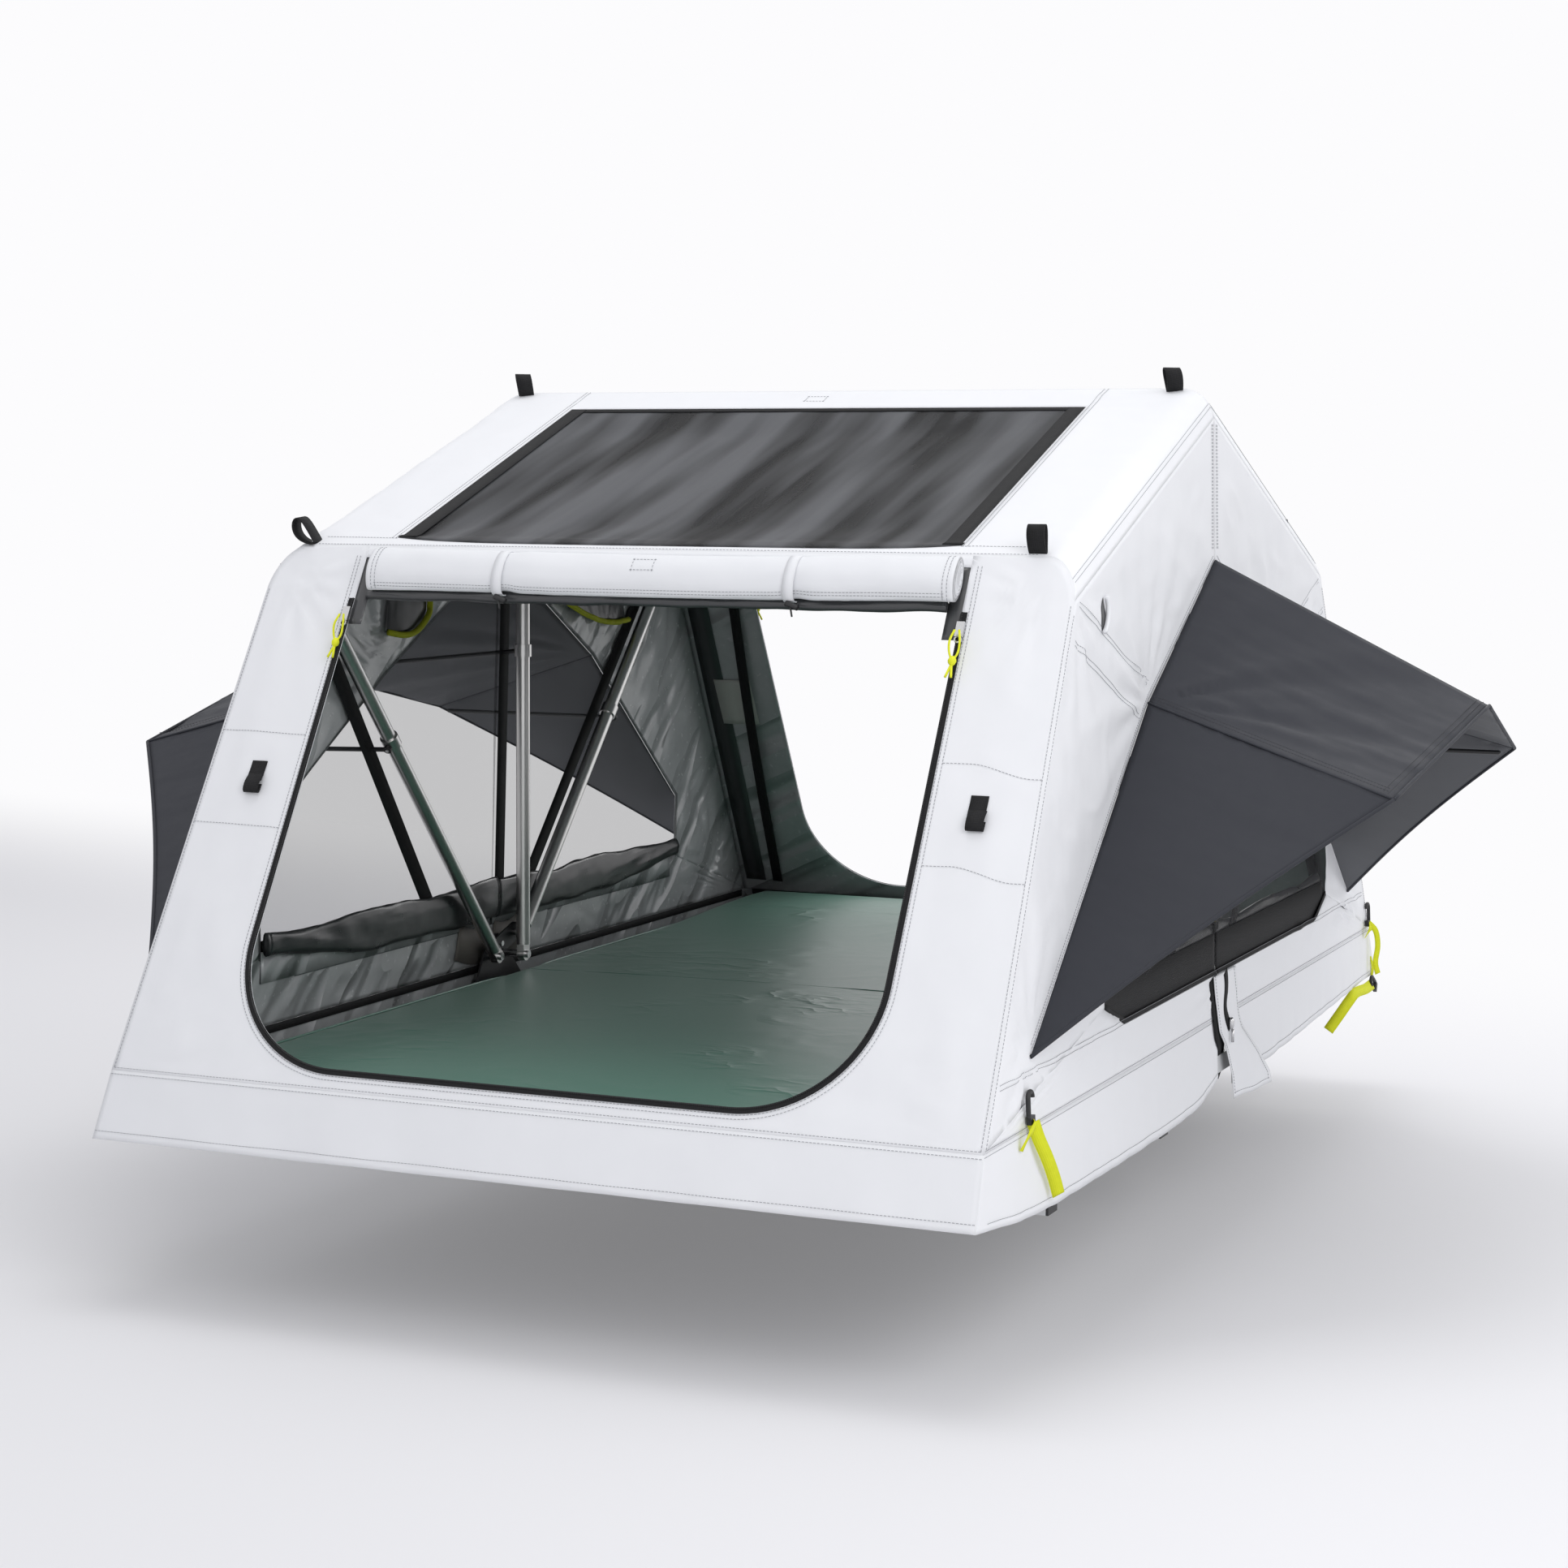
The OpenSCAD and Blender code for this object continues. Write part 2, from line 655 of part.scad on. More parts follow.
module door_zip_front() {
    color(strap_black) door_zip();
}
module door_zip_rear() {
    color(strap_black) to_rear() door_zip();
}
slider_w = 12;
slider_l = 24;
module zip_sliders() {
    on_front() both_sides()
        translate([door_w / 2 + zip_w / 2, roll_low - 34, zip_t + 2 * panel_fit]) {
            translate([-slider_w / 2, -slider_l / 2, 0]) cube([slider_w, slider_l, 6]);
            translate([0, -slider_l / 2 - 4, 2]) difference() {
                cylinder(r = 6, h = 3);
                translate([0, 0, -1]) cylinder(r = 3.5, h = 5);
            }
        }
}
module zip_sliders_front() {
    color("silver") zip_sliders();
}
module zip_sliders_rear() {
    color("silver") to_rear() zip_sliders();
}
// The rolled door flap sags a little between its ties
roll_half = door_w / 2 - 14;
roll_out = roll_t / 2 + panel_fit + 0.3;
tie_w = 12;
function roll_ring(x, n) =
    let(near_tie = exp(-pow((abs(x) - tie_x) / 26, 2)),
        end_in = abs(x) > roll_half - 1 ? 0.9 : 1,
        k = (1 - 0.07 * near_tie) * end_in,
        sag = 5 * pow(cos(90 * x / roll_half), 2))
    [for (j = [0:n - 1]) let(w = -360 * j / n)
        [x, roll_v - sag + k * (roll_h / 2 - 5) * sin(w), roll_out + k * roll_t / 2 * cos(w)]];
module door_roll() {
    n = 36;
    on_front() loft([for (i = [0:n]) roll_ring(roll_half * (2 * i / n - 1), 12)]);
}
module door_roll_front() {
    color(cloth_white) door_roll();
}
module door_roll_rear() {
    color(cloth_white) to_rear() door_roll();
}
module tie_2d(r, len) {
    rotate(90) translate([-len / 2, 0]) slot_2d(len, r);
}
tie_t = 1.2;
tie_r = roll_out - panel_fit;
tie_run = roll_h - 2 * tie_r - 4;
toggle_r = 5;
module door_ties() {
    on_front() for (x = [-tie_x, tie_x]) translate([x - tie_w / 2, roll_v - 4, roll_out]) {
        rotate([90, 0, 90]) linear_extrude(tie_w) {
            difference() {
                rotate(-90) tie_2d(tie_r, tie_run);
                rotate(-90) tie_2d(tie_r - tie_t, tie_run);
            }
            translate([0, -tie_r]) square([roll_h / 2 + 10, tie_t]);
        }
        translate([tie_w / 2, -tie_run / 2 - tie_r - toggle_r - panel_fit, 0]) rotate([0, 90, 0])
            translate([0, 0, -11]) cylinder(r = toggle_r, h = 22);
    }
}
module door_ties_front() {
    color(cloth_white) door_ties();
}
module door_ties_rear() {
    color(cloth_white) to_rear() door_ties();
}

// Roof halves with rounded shoulders, cut on the fold line
roof_start = 0.3;
module roof_2d() {
    outer = shoulder_arc(0);
    k = (shoulder_r - cloth_t) / shoulder_r;
    inner = [for (p = outer) [flat_half + (p[0] - flat_half) * k, -cloth_t + p[1] * k]];
    polygon(concat(outer, flip(outer), [for (p = inner) [-p[0], p[1]]], back(inner)));
}
module roof_half_shell() {
    intersection() {
        on_roof() translate([0, roof_len + shoulder_r, 0]) rotate([90, 0, 0])
            linear_extrude(roof_len + shoulder_r - roof_start) roof_2d();
        translate([-far / 2, -far - half_fit, 0]) cube([far, far, far]);
    }
}
module skylight_cut(grow, depth) {
    on_roof() translate([-skylight_w / 2 - grow, skylight_low - grow, -depth])
        children();
}
skylight_l = roof_len - skylight_low - skylight_top;
module roof_front() {
    color(cloth_white) difference() {
        roof_half_shell();
        skylight_cut(0, cloth_t * 2) cube([skylight_w, skylight_l, cloth_t * 4]);
    }
}
module roof_rear() {
    color(cloth_white) to_rear() roof_half_shell();
}
mesh_t = 1;
module skylight_mesh() {
    color(mesh_grey) skylight_cut(mesh_lap, cloth_t + panel_fit + mesh_t)
        cube([skylight_w + 2 * mesh_lap, skylight_l + 2 * mesh_lap, mesh_t]);
}

// Side walls with their windows, one half each side of the fold line
function up(h) = (h - seam_up) / cos(lean_a);
function meet(p, u, q, w) = p + u * (cross(q - p, w) / cross(u, w));
wall_edge = [-seam_y, seam_z] + front_in * (cloth_t + cloth_fit);
roof_edge = [-bar_y, bar_z] + roof_in * (shoulder_drop + cloth_fit);
wall_corner = meet(wall_edge, [cos(front_a), sin(front_a)], roof_edge, [cos(roof_a), sin(roof_a)]);
wall_foot = meet(wall_edge, [cos(front_a), sin(front_a)], [0, seam_z + seam_fit], [1, 0]);
wall_ridge = meet(roof_edge, [cos(roof_a), sin(roof_a)], [-half_fit, 0], [0, 1]);
function on_side(p) = [p[0], (p[1] - seam_z) / cos(lean_a)];
cut_y = 102;
cut_z = 38;
function seam_up_at(y) = tip_up + (tip_y - y) * (kink_up - tip_up) / (tip_y - kink_y);
function window_pts(low, grow) = [[-low - cut_y - grow, up(sill_up + cut_z)],
    [-low - cut_y - grow, up(seam_up_at(low + cut_y)) + grow / 3], [-kink_y - grow, up(kink_up) + grow],
    [-half_fit, up(peak_up) + grow], [-half_fit, up(sill_up) - grow], [-low - grow / 3, up(sill_up) - grow]];
module side_wall_2d() {
    polygon([on_side(wall_foot), on_side(wall_corner), on_side(wall_ridge), [-half_fit, seam_fit]]);
}
module side_wall(low) {
    on_right() translate([0, 0, -cloth_t]) linear_extrude(cloth_t) difference() {
        side_wall_2d();
        polygon(window_pts(low, 0));
    }
}
module side_wall_front_right() {
    color(cloth_white) side_wall(sill_front);
}
module side_wall_front_left() {
    color(cloth_white) mirror([1, 0, 0]) side_wall(sill_front);
}
module side_wall_rear_right() {
    color(cloth_white) to_rear() side_wall(sill_rear);
}
module side_wall_rear_left() {
    color(cloth_white) mirror([1, 0, 0]) to_rear() side_wall(sill_rear);
}
rod_room = 4;
module rod_holes() {
    for (k = [0:2], s = [-1, 1]) rod_frame(k, s, rod_pivot(k, s))
        rotate([0, 90, 0]) cylinder(r = rod_d / 2 + rod_room, h = rod_len(k, s));
}
module window_mesh(low) {
    on_right() translate([0, 0, -cloth_t - panel_fit - mesh_t]) linear_extrude(mesh_t)
        polygon(window_pts(low, mesh_lap));
}
module window_mesh_front() {
    color(mesh_grey) difference() {
        both_sides() window_mesh(sill_front);
        rod_holes();
    }
}
module window_mesh_rear() {
    color(mesh_grey) difference() {
        both_sides() to_rear() window_mesh(sill_rear);
        rod_holes();
    }
}
// Rolled window flaps along the sill, between the hoop legs and the mesh
roll_start = 34;
win_roll_h = 80;
roll_side_gap = 0.5;
win_roll_out = wall_x(floor_z + tip_up) - cloth_t - panel_fit - mesh_t - roll_side_gap;
win_roll_in = leg_x + tube_d / 2 + roll_side_gap;
win_roll_z = floor_z + tip_up + win_roll_h / 3;
win_roll_y = tip_y - 200;
function win_ring(y, n) =
    let(c = (win_roll_out + win_roll_in) / 2, a = (win_roll_out - win_roll_in) / 2 - 0.8,
        k = 0.86 + 0.14 * cos(y * 1.6), droop = 5 * cos(y * 0.9))
    [for (j = [0:n - 1]) let(w = 360 * j / n)
        [c + a * k * cos(w), y, win_roll_z + droop + k * win_roll_h / 2 * sin(w)]];
module window_roll() {
    n = 16;
    run = win_roll_y - roll_start;
    loft([for (i = [0:n]) win_ring(-win_roll_y + run * i / n, 10)]);
}
module window_rolls_front() {
    color(cloth_dark) both_sides() window_roll();
}
module window_rolls_rear() {
    color(cloth_dark) both_sides() to_rear() window_roll();
}

// Awnings: a slanting end panel and a top panel in two cuts, sewn edge to edge
awning_tris = [[0, 4, 1], [1, 4, 2], [2, 4, 3]];
sewn = 0.9996;
module awning(tip = AWNING[0]) {
    for (t = awning_tris) {
        cut = [for (i = t) i == 0 ? tip : AWNING[i]];
        sheet([for (q = cut) mean(cut) + sewn * (q - mean(cut))], [[0, 1, 2]], [0, 1, 2], awning_in);
    }
}
module awning_front_right() {
    color(cloth_dark) awning();
}
module awning_front_left() {
    color(cloth_dark) mirror([1, 0, 0]) awning(on_wall(-tip_y - left_tip_on, tip_up + left_tip_rise));
}
module awning_rear_right() {
    color(cloth_dark) to_rear() awning();
}
module awning_rear_left() {
    color(cloth_dark) mirror([1, 0, 0]) to_rear() awning();
}

// Skirts hang from the seam: one end and two half sides
module skirt(hem) {
    a = atan2(skirt_h, -flare_end);
    translate([0, -seam_y, seam_z]) rotate([-a, 0, 0]) mirror([0, 0, 1])
        translate([0, 0, -cloth_t]) linear_extrude(cloth_t)
            polygon([[-seam_x, panel_fit], [seam_x, panel_fit],
                [seam_x + flare_side, skirt_end_len], [-seam_x - flare_side, skirt_end_len]]);
    side_len = norm([flare_side, skirt_h]);
    both_sides() on_right_skirt() translate([0, 0, -cloth_t]) linear_extrude(cloth_t)
        polygon(concat([[-seam_y, -panel_fit], [-half_fit, -panel_fit]],
            [for (q = hem) [-max(half_fit, q[0] * seam_y), -side_len - q[1]]],
            [[-seam_y - flare_end, -side_len]]));
}
module skirt_front() {
    color(cloth_white) skirt([[0, 36], [0.25, 38], [0.5, 36], [0.75, 31], [0.88, 22], [0.98, 8]]);
}
module skirt_rear() {
    color(cloth_white) to_rear() skirt([[0, 32], [0.25, 28], [0.5, 20], [0.75, 9], [0.95, 1]]);
}
// Flaps that cover the split of the skirt at the fold line, hanging in soft folds
flap_w = 165;
flap_top = 72;
flap_low = 3;
function flap_ring(u) =
    let(y = 4 + flap_w * u, wave = 7 * u * (1 - cos(540 * u)) / 2)
    [for (v = [0:0.25:1]) let(z = seam_z + flap_top - v * (seam_z + flap_top - flap_low),
            x = max(wall_x(z), seam_x + flare_side * max(0, (seam_z - z) / skirt_h)))
        [x + cloth_fit + panel_fit + wave * v, y, z]];
module split_flap() {
    n = 12;
    outer = [for (i = [0:n]) flap_ring(i / n)];
    loft([for (r = outer) concat(r, [for (p = back(r)) p + [cloth_t, 0, 0]])]);
}
module split_flaps() {
    color(cloth_white) both_sides() split_flap();
}

// Pockets inside the side walls, above the windows
pocket_t = 7;
pocket_near = 260;
pocket_far = 400;
pocket_near_rear = 237;
pocket_far_rear = 514;
pocket_mouth = 726;
pocket_low = 690;
pocket_low_rear = 680;
pocket_top = 800;
pocket_top_far = 778;
pocket_slant = 14;
module pockets(near, far, low) {
    both_sides() on_right() translate([0, 0, -cloth_t - panel_fit - pocket_t]) linear_extrude(pocket_t)
        polygon([[-far, up(low)], [-near, up(pocket_mouth)], [-near, up(pocket_top)],
            [-far + pocket_slant, up(pocket_top_far)]]);
}
module side_pockets_front() {
    color(cloth_dark) pockets(pocket_near, pocket_far, pocket_low);
}
module side_pockets_rear() {
    color(cloth_dark) to_rear() pockets(pocket_near_rear, pocket_far_rear, pocket_low_rear);
}

// Webbing loops on the roof edges and ridge, and tabs on the end walls
loop_r = 9;
module loop_2d() {
    difference() {
        rotate(90) translate([loop_r, 0]) slot_2d(loop_h - 2 * loop_r, loop_r);
        rotate(90) translate([loop_r, 0]) slot_2d(loop_h - 2 * loop_r, loop_r - web_t);
    }
}
module web_loop() {
    translate([-web_w / 2, 0, panel_fit]) rotate([90, 0, 90]) linear_extrude(web_w) loop_2d();
}
tab_v = 442;
tab_l = 55;
module web_tab() {
    translate([-web_w / 2, -tab_l / 2, panel_fit]) rotate([90, 0, 90]) linear_extrude(web_w) {
        square([tab_l, web_t]);
        translate([tab_l * 0.3, web_t]) difference() {
            square([tab_l * 0.4, 7]);
            translate([web_t, -1]) square([tab_l * 0.4 - 2 * web_t, 7 - web_t + 1]);
        }
    }
}
tab_x = (door_w / 2 + seam_x) / 2 - 12;
module webbing_loops(with_ridge) {
    both_sides() {
        on_roof() translate([flat_half - web_w / 2, loop_r + 2, 0]) web_loop();
        if (with_ridge) on_roof() translate([flat_half - web_w / 2, roof_len - loop_r - 6, 0]) web_loop();
        on_front() translate([tab_x, tab_v, 0]) web_tab();
    }
}
module webbing_loops_front() {
    color(strap_black) webbing_loops(true);
}
module webbing_loops_rear() {
    color(strap_black) to_rear() webbing_loops(false);
}
// Corner straps lie on the side skirts, each with a hook at its upper end
module at_straps(inset) {
    both_sides() on_right_skirt() translate([-seam_y + inset, 0, panel_fit + 0.5]) children();
}
module corner_straps(inset) {
    at_straps(inset) translate([0, -strap_len + 14, 0]) linear_extrude(web_t)
        polygon([[web_w * 0.3, 0], [web_w * 1.1, 8], [web_w, strap_len], [0, strap_len]]);
}
module corner_straps_front() {
    color(strap_yellow) corner_straps(strap_inset);
}
module corner_straps_rear() {
    color(strap_yellow) to_rear() {
        corner_straps(rear_strap_inset);
        at_straps(low_inset) translate([0, -low_drop, 0]) linear_extrude(web_t) square([web_w * 0.6, low_len]);
    }
}
// A second, lower strap hangs off each rear corner
low_inset = -18;
low_drop = 134;
low_len = 76;
hook_r = 9;
hook_wire = 3.5;
module hook() {
    translate([-9, -14, -hook_wire]) cube([18, 12, 2 * hook_wire]);
    translate([-hook_r, -4, 0]) rotate([-90, 0, 0]) cylinder(r = hook_wire, h = 26);
    translate([0, 22, 0]) rotate_extrude(angle = 180) translate([hook_r, 0]) circle(hook_wire);
}
module strap_hooks(inset) {
    at_straps(inset) translate([web_w / 2, 22, web_t + hook_wire + panel_fit]) hook();
}
module strap_hooks_front() {
    color(strap_black) strap_hooks(strap_inset);
}
module strap_hooks_rear() {
    color(strap_black) to_rear() {
        strap_hooks(rear_strap_inset);
        at_straps(low_inset) translate([web_w * 0.3, 16 - low_drop, web_t + hook_wire + panel_fit])
            rotate(-60) hook();
    }
}

base_panel();
base_frame();
mount_rails();
rail_caps();
hub_plates();
hinge_pins();
pivot_bolts();
mattress_front();
front_wall();
roof_front();
skylight_mesh();
side_wall_front_left();
side_wall_front_right();
skirt_front();
door_roll_front();
door_ties_front();
door_zip_front();
zip_sliders_front();
window_mesh_front();
window_rolls_front();
awning_front_left();
awning_front_right();
corner_straps_front();
strap_hooks_front();
webbing_loops_front();
side_pockets_front();
fold_panel();
fold_frame();
hinge_plates();
mattress_rear();
rear_wall();
roof_rear();
side_wall_rear_left();
side_wall_rear_right();
skirt_rear();
door_roll_rear();
door_ties_rear();
door_zip_rear();
zip_sliders_rear();
window_mesh_rear();
window_rolls_rear();
awning_rear_left();
awning_rear_right();
corner_straps_rear();
strap_hooks_rear();
webbing_loops_rear();
side_pockets_rear();
split_flaps();
front_hoop();
front_hoop_fittings();
mid_hoop();
mid_hoop_fittings();
rear_hoop();
rear_hoop_fittings();
awning_rod_front_left();
awning_rod_front_right();
awning_rod_mid_left();
awning_rod_mid_right();
awning_rod_rear_left();
awning_rod_rear_right();
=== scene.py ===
from math import atan2, copysign, cos, exp, hypot, pi, radians, sin, tan

import bmesh
import bpy
from mathutils import Matrix, Vector, noise


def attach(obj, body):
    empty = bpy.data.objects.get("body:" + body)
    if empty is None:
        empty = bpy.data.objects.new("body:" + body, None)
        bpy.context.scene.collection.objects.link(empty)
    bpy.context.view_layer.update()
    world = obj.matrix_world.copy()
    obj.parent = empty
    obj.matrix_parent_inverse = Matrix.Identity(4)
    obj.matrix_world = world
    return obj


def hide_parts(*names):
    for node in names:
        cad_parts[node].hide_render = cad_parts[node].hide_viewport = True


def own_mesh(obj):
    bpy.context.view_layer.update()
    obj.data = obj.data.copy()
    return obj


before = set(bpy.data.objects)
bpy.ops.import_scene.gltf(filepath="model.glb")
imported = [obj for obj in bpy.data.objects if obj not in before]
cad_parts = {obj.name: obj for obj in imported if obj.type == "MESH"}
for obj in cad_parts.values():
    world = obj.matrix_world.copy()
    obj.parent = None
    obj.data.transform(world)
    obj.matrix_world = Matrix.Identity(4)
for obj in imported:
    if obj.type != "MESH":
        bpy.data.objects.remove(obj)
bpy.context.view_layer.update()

# Sizes of the tent in metres, as the solids have them
SEAM_X, SEAM_Y, SEAM_Z = 0.68896, 1.15803, 0.141
BAR_Y, BAR_Z, RIDGE_Z = 0.714, 0.917, 1.181
SKIRT_H, FLARE_END, FLARE_SIDE = 0.096, 0.043, 0.005
LEAN = atan2(0.027, RIDGE_Z - SEAM_Z)
WALL_A = atan2(BAR_Z - SEAM_Z, SEAM_Y - BAR_Y)
WALL_L = hypot(BAR_Z - SEAM_Z, SEAM_Y - BAR_Y)
ROOF_A = atan2(RIDGE_Z - BAR_Z, BAR_Y)
SHOULDER_R, SHOULDER_W = 0.056, radians(80)
DROP = SHOULDER_R * (1 - cos(SHOULDER_W))
DOOR_W, DOOR_SILL, DOOR_HEAD, DOOR_R = 0.505, 0.033, WALL_L - 0.020, 0.190
SKY_W, SKY_LOW, SKY_TOP = 0.472, 0.040, hypot(BAR_Y, RIDGE_Z - BAR_Z) - 0.092
FLOOR_Z, BED_T = 0.075, 0.070
SPLIT, CLOTH = 0.0006, 0.0014
SLIDER_X = 0.5095
# Pitches of weaves, tapes, stitches and zip teeth; a stitch and a tooth have a radius and a length
CLOTH_PITCH, COVER_PITCH, TAPE_PITCH, SOLID_TAPE_PITCH, CORD_PITCH = 0.0011, 0.0012, 0.0022, 0.0026, 0.003
STITCH_PITCH, STITCH_SIZE = 0.0056, (0.0004, 0.0036)
TOOTH_PITCH, TOOTH_SIZE = 0.0030, (0.0012, 0.0018)


def clamp(x, a=0.0, b=1.0):
    return min(b, max(a, x))


def ease(a, b, x):
    """A smooth step from 0 at a to 1 at b."""
    t = clamp((x - a) / (b - a))
    return t * t * (3 - 2 * t)


def mix(a, b, t):
    return a + (b - a) * t


# ---- materials -------------------------------------------------------------

class Val:
    """A shader socket that takes part in Python sums."""

    def __init__(self, paint, socket):
        self.paint, self.socket = paint, socket

    def op(self, kind, a, b=None):
        sockets = {0: a} if b is None else {0: a, 1: b}
        return self.paint.node("ShaderNodeMath", dict(operation=kind), sockets)

    def __add__(self, o): return self.op("ADD", self, o)
    def __radd__(self, o): return self.op("ADD", o, self)
    def __sub__(self, o): return self.op("SUBTRACT", self, o)
    def __rsub__(self, o): return self.op("SUBTRACT", o, self)
    def __mul__(self, o): return self.op("MULTIPLY", self, o)
    def __rmul__(self, o): return self.op("MULTIPLY", o, self)
    def __pow__(self, o): return self.op("POWER", self, o)
    def __abs__(self): return self.op("ABSOLUTE", self)
    def sin(self): return self.op("SINE", self)
    def least(self, o): return self.op("MINIMUM", self, o)
    def most(self, o): return self.op("MAXIMUM", self, o)


class Paint:
    """One node material; node() adds any node, the rest are short names for common ones."""

    def __init__(self, name, owner=None):
        self.mat = owner or bpy.data.materials.new(name)
        self.mat.use_nodes = True
        self.tree = self.mat.node_tree
        self.bsdf = self.tree.nodes.get("Principled BSDF")

    def feed(self, socket, value):
        if isinstance(value, Val):
            self.tree.links.new(value.socket, socket)
        else:
            socket.default_value = value

    def node(self, kind, settings=None, sockets=None, out=0):
        n = self.tree.nodes.new(kind)
        for key, value in (settings or {}).items():
            setattr(n, key, value)
        for key, value in (sockets or {}).items():
            self.feed(n.inputs[key], value)
        return Val(self, n.outputs[out])

    def place(self):
        return self.node("ShaderNodeTexCoord", out="Object")

    def uv(self):
        return self.node("ShaderNodeUVMap", dict(uv_map="cut"))

    def split(self, v):
        n = self.node("ShaderNodeSeparateXYZ", None, {0: v}).socket.node
        return [Val(self, o) for o in n.outputs]

    def scaled(self, v, scale, turn=(0, 0, 0)):
        return self.node("ShaderNodeMapping", None, {"Vector": v, "Scale": scale, "Rotation": turn})

    def noise(self, v, scale, detail=3.0, rough=0.5):
        return self.node("ShaderNodeTexNoise", None,
                         {"Vector": v, "Scale": scale, "Detail": detail, "Roughness": rough})

    def blend(self, t, a, b):
        return self.node("ShaderNodeMix", dict(data_type="RGBA"), {0: t, 6: a, 7: b}, out=2)

    def bump(self, height, distance, strength=1.0, under=None):
        sockets = {"Height": height, "Distance": distance, "Strength": strength}
        if under is not None:
            sockets["Normal"] = under
        return self.node("ShaderNodeBump", None, sockets)

    def set(self, **values):
        for key, value in values.items():
            self.feed(self.bsdf.inputs[key.replace("_", " ")], value)
        return self.mat


def rgb(r, g, b):
    return (r, g, b, 1.0)


def ridges(v, pitch):
    """A run of equal waves a pitch apart, between 0 and 1."""
    return (v * (2 * pi / pitch)).sin() * 0.5 + 0.5


def weave_of(p, uv, pitch):
    """Plain weave height in a cloth's own plane: warp and weft threads a pitch apart."""
    u, v, _ = p.split(uv)
    a = (u * (2 * pi / pitch)).sin()
    b = (v * (2 * pi / pitch)).sin()
    return (a * b) * 0.5 + 0.5


def tent_cloth(name, light, dark, rough, crumple, sheen=0.05, grain=(4.0, 3.0, 1.0), spec=0.3, weave=0.5):
    """Coated tent cloth: slow tone changes, soft creases along the panel and a fine weave."""
    p = Paint(name)
    uv = p.uv()
    slow = p.noise(p.scaled(uv, (2.2, 1.4, 1.0)), 1.0, 3.0)
    crease = p.noise(p.scaled(uv, grain), 2.0, 2.0, 0.4)
    fine = p.noise(p.scaled(uv, (30.0, 30.0, 1.0)), 1.0, 3.0, 0.6)
    soft = p.bump(crease + fine * 0.04, crumple)
    thread = p.bump(weave_of(p, uv, CLOTH_PITCH), 0.00012, weave, soft)
    colour = p.blend(slow * 0.7 + fine * 0.3, rgb(*dark), rgb(*light))
    return p.set(Base_Color=colour, Roughness=rough + (fine - 0.5) * 0.16, Normal=thread,
                 Sheen_Weight=sheen, Sheen_Roughness=0.5, Specular_IOR_Level=spec)


def coating():
    """Inside of the tent cloth: a grey satin blackout coat with broad slanting folds."""
    p = Paint("blackout_coat")
    x, y, z = p.split(p.place())
    over, up = y - z + x * 0.7, y + z
    folds = p.node("ShaderNodeCombineXYZ", None, {0: over * 9.0, 1: up * 2.6})
    broad = p.noise(folds, 1.0, 1.5, 0.4)
    slow = p.noise(p.place(), 5.0, 2.0)
    fine = p.noise(p.uv(), 70.0, 2.0)
    crest = (1 - abs(broad * 2 - 1)) ** 2
    bump = p.bump(broad + crest * 0.25 + slow * 0.4, 0.05)
    colour = p.blend(slow * 0.6 + fine * 0.4, rgb(0.350, 0.360, 0.367), rgb(0.510, 0.522, 0.532))
    return p.set(Base_Color=colour, Roughness=0.22 + fine * 0.08, Normal=bump, Specular_IOR_Level=0.9)


def net(name, dark, light, alpha, rough, lean, depth, spec):
    """Fine netting: see-through by a fixed share, with slack folds along one direction, painted lighter on the fold
    crests as painted sheen.
    """
    p = Paint(name)
    u, v, _ = p.split(p.uv())
    across = p.node("ShaderNodeCombineXYZ", None, {0: (u - v * lean) * 9.5, 1: v * 1.1})
    folds = p.noise(across, 1.0, 2.5, 0.5)
    mesh = p.noise(p.uv(), 160.0, 2.0, 0.7)
    # painted sheen and shade: the colour goes from dark in the fold troughs to light on the fold crests
    colour = p.blend(((folds - 0.40) * 5.0).most(0.0).least(1.0), rgb(*dark), rgb(*light))
    return p.set(Base_Color=colour, Roughness=rough + mesh * 0.06, Normal=p.bump(folds, depth),
                 Specular_IOR_Level=spec, Alpha=alpha)


def bed_cover():
    """A smooth woven cover with ruffled patches."""
    p = Paint("bed_cover")
    uv = p.uv()
    a = p.noise(p.scaled(uv, (6.0, 10.0, 1.0), (0, 0, 0.5)), 1.0, 3.0, 0.5)
    b = p.noise(p.scaled(uv, (3.0, 3.0, 1.0)), 1.0, 2.0, 0.5)
    fine = p.noise(uv, 60.0, 2.0)
    ruffled = ((b - 0.50) * 6).most(0.0).least(1.0)
    soft = p.bump((1 - abs(a * 2 - 1)) ** 7 * ruffled * 0.5 + b * 0.05, 0.006)
    thread = p.bump(weave_of(p, uv, COVER_PITCH), 0.0001, 0.3, soft)
    colour = p.blend(b * 0.5 + fine * 0.5, rgb(0.058, 0.182, 0.130), rgb(0.092, 0.242, 0.180))
    return p.set(Base_Color=colour, Roughness=0.34 + fine * 0.08, Normal=thread,
                 Sheen_Weight=0.14, Specular_IOR_Level=0.8)


def metal(name, colour, rough, metallic=1.0, stretch=(60.0, 60.0, 2.0), wear=0.15):
    """Drawn or painted metal: fine lengthwise lines, a slow change of gloss and rubbed spots."""
    p = Paint(name)
    at = p.place()
    lines = p.noise(p.scaled(at, stretch), 12.0, 3.0)
    slow = p.noise(at, 6.0, 2.0)
    dark = rgb(*[c * (1 - wear) for c in colour])
    return p.set(Base_Color=p.blend(lines * 0.5 + slow * 0.5, dark, rgb(*colour)), Metallic=metallic,
                 Roughness=rough + (slow - 0.5) * 0.18, Normal=p.bump(lines, 0.0002, 0.35))


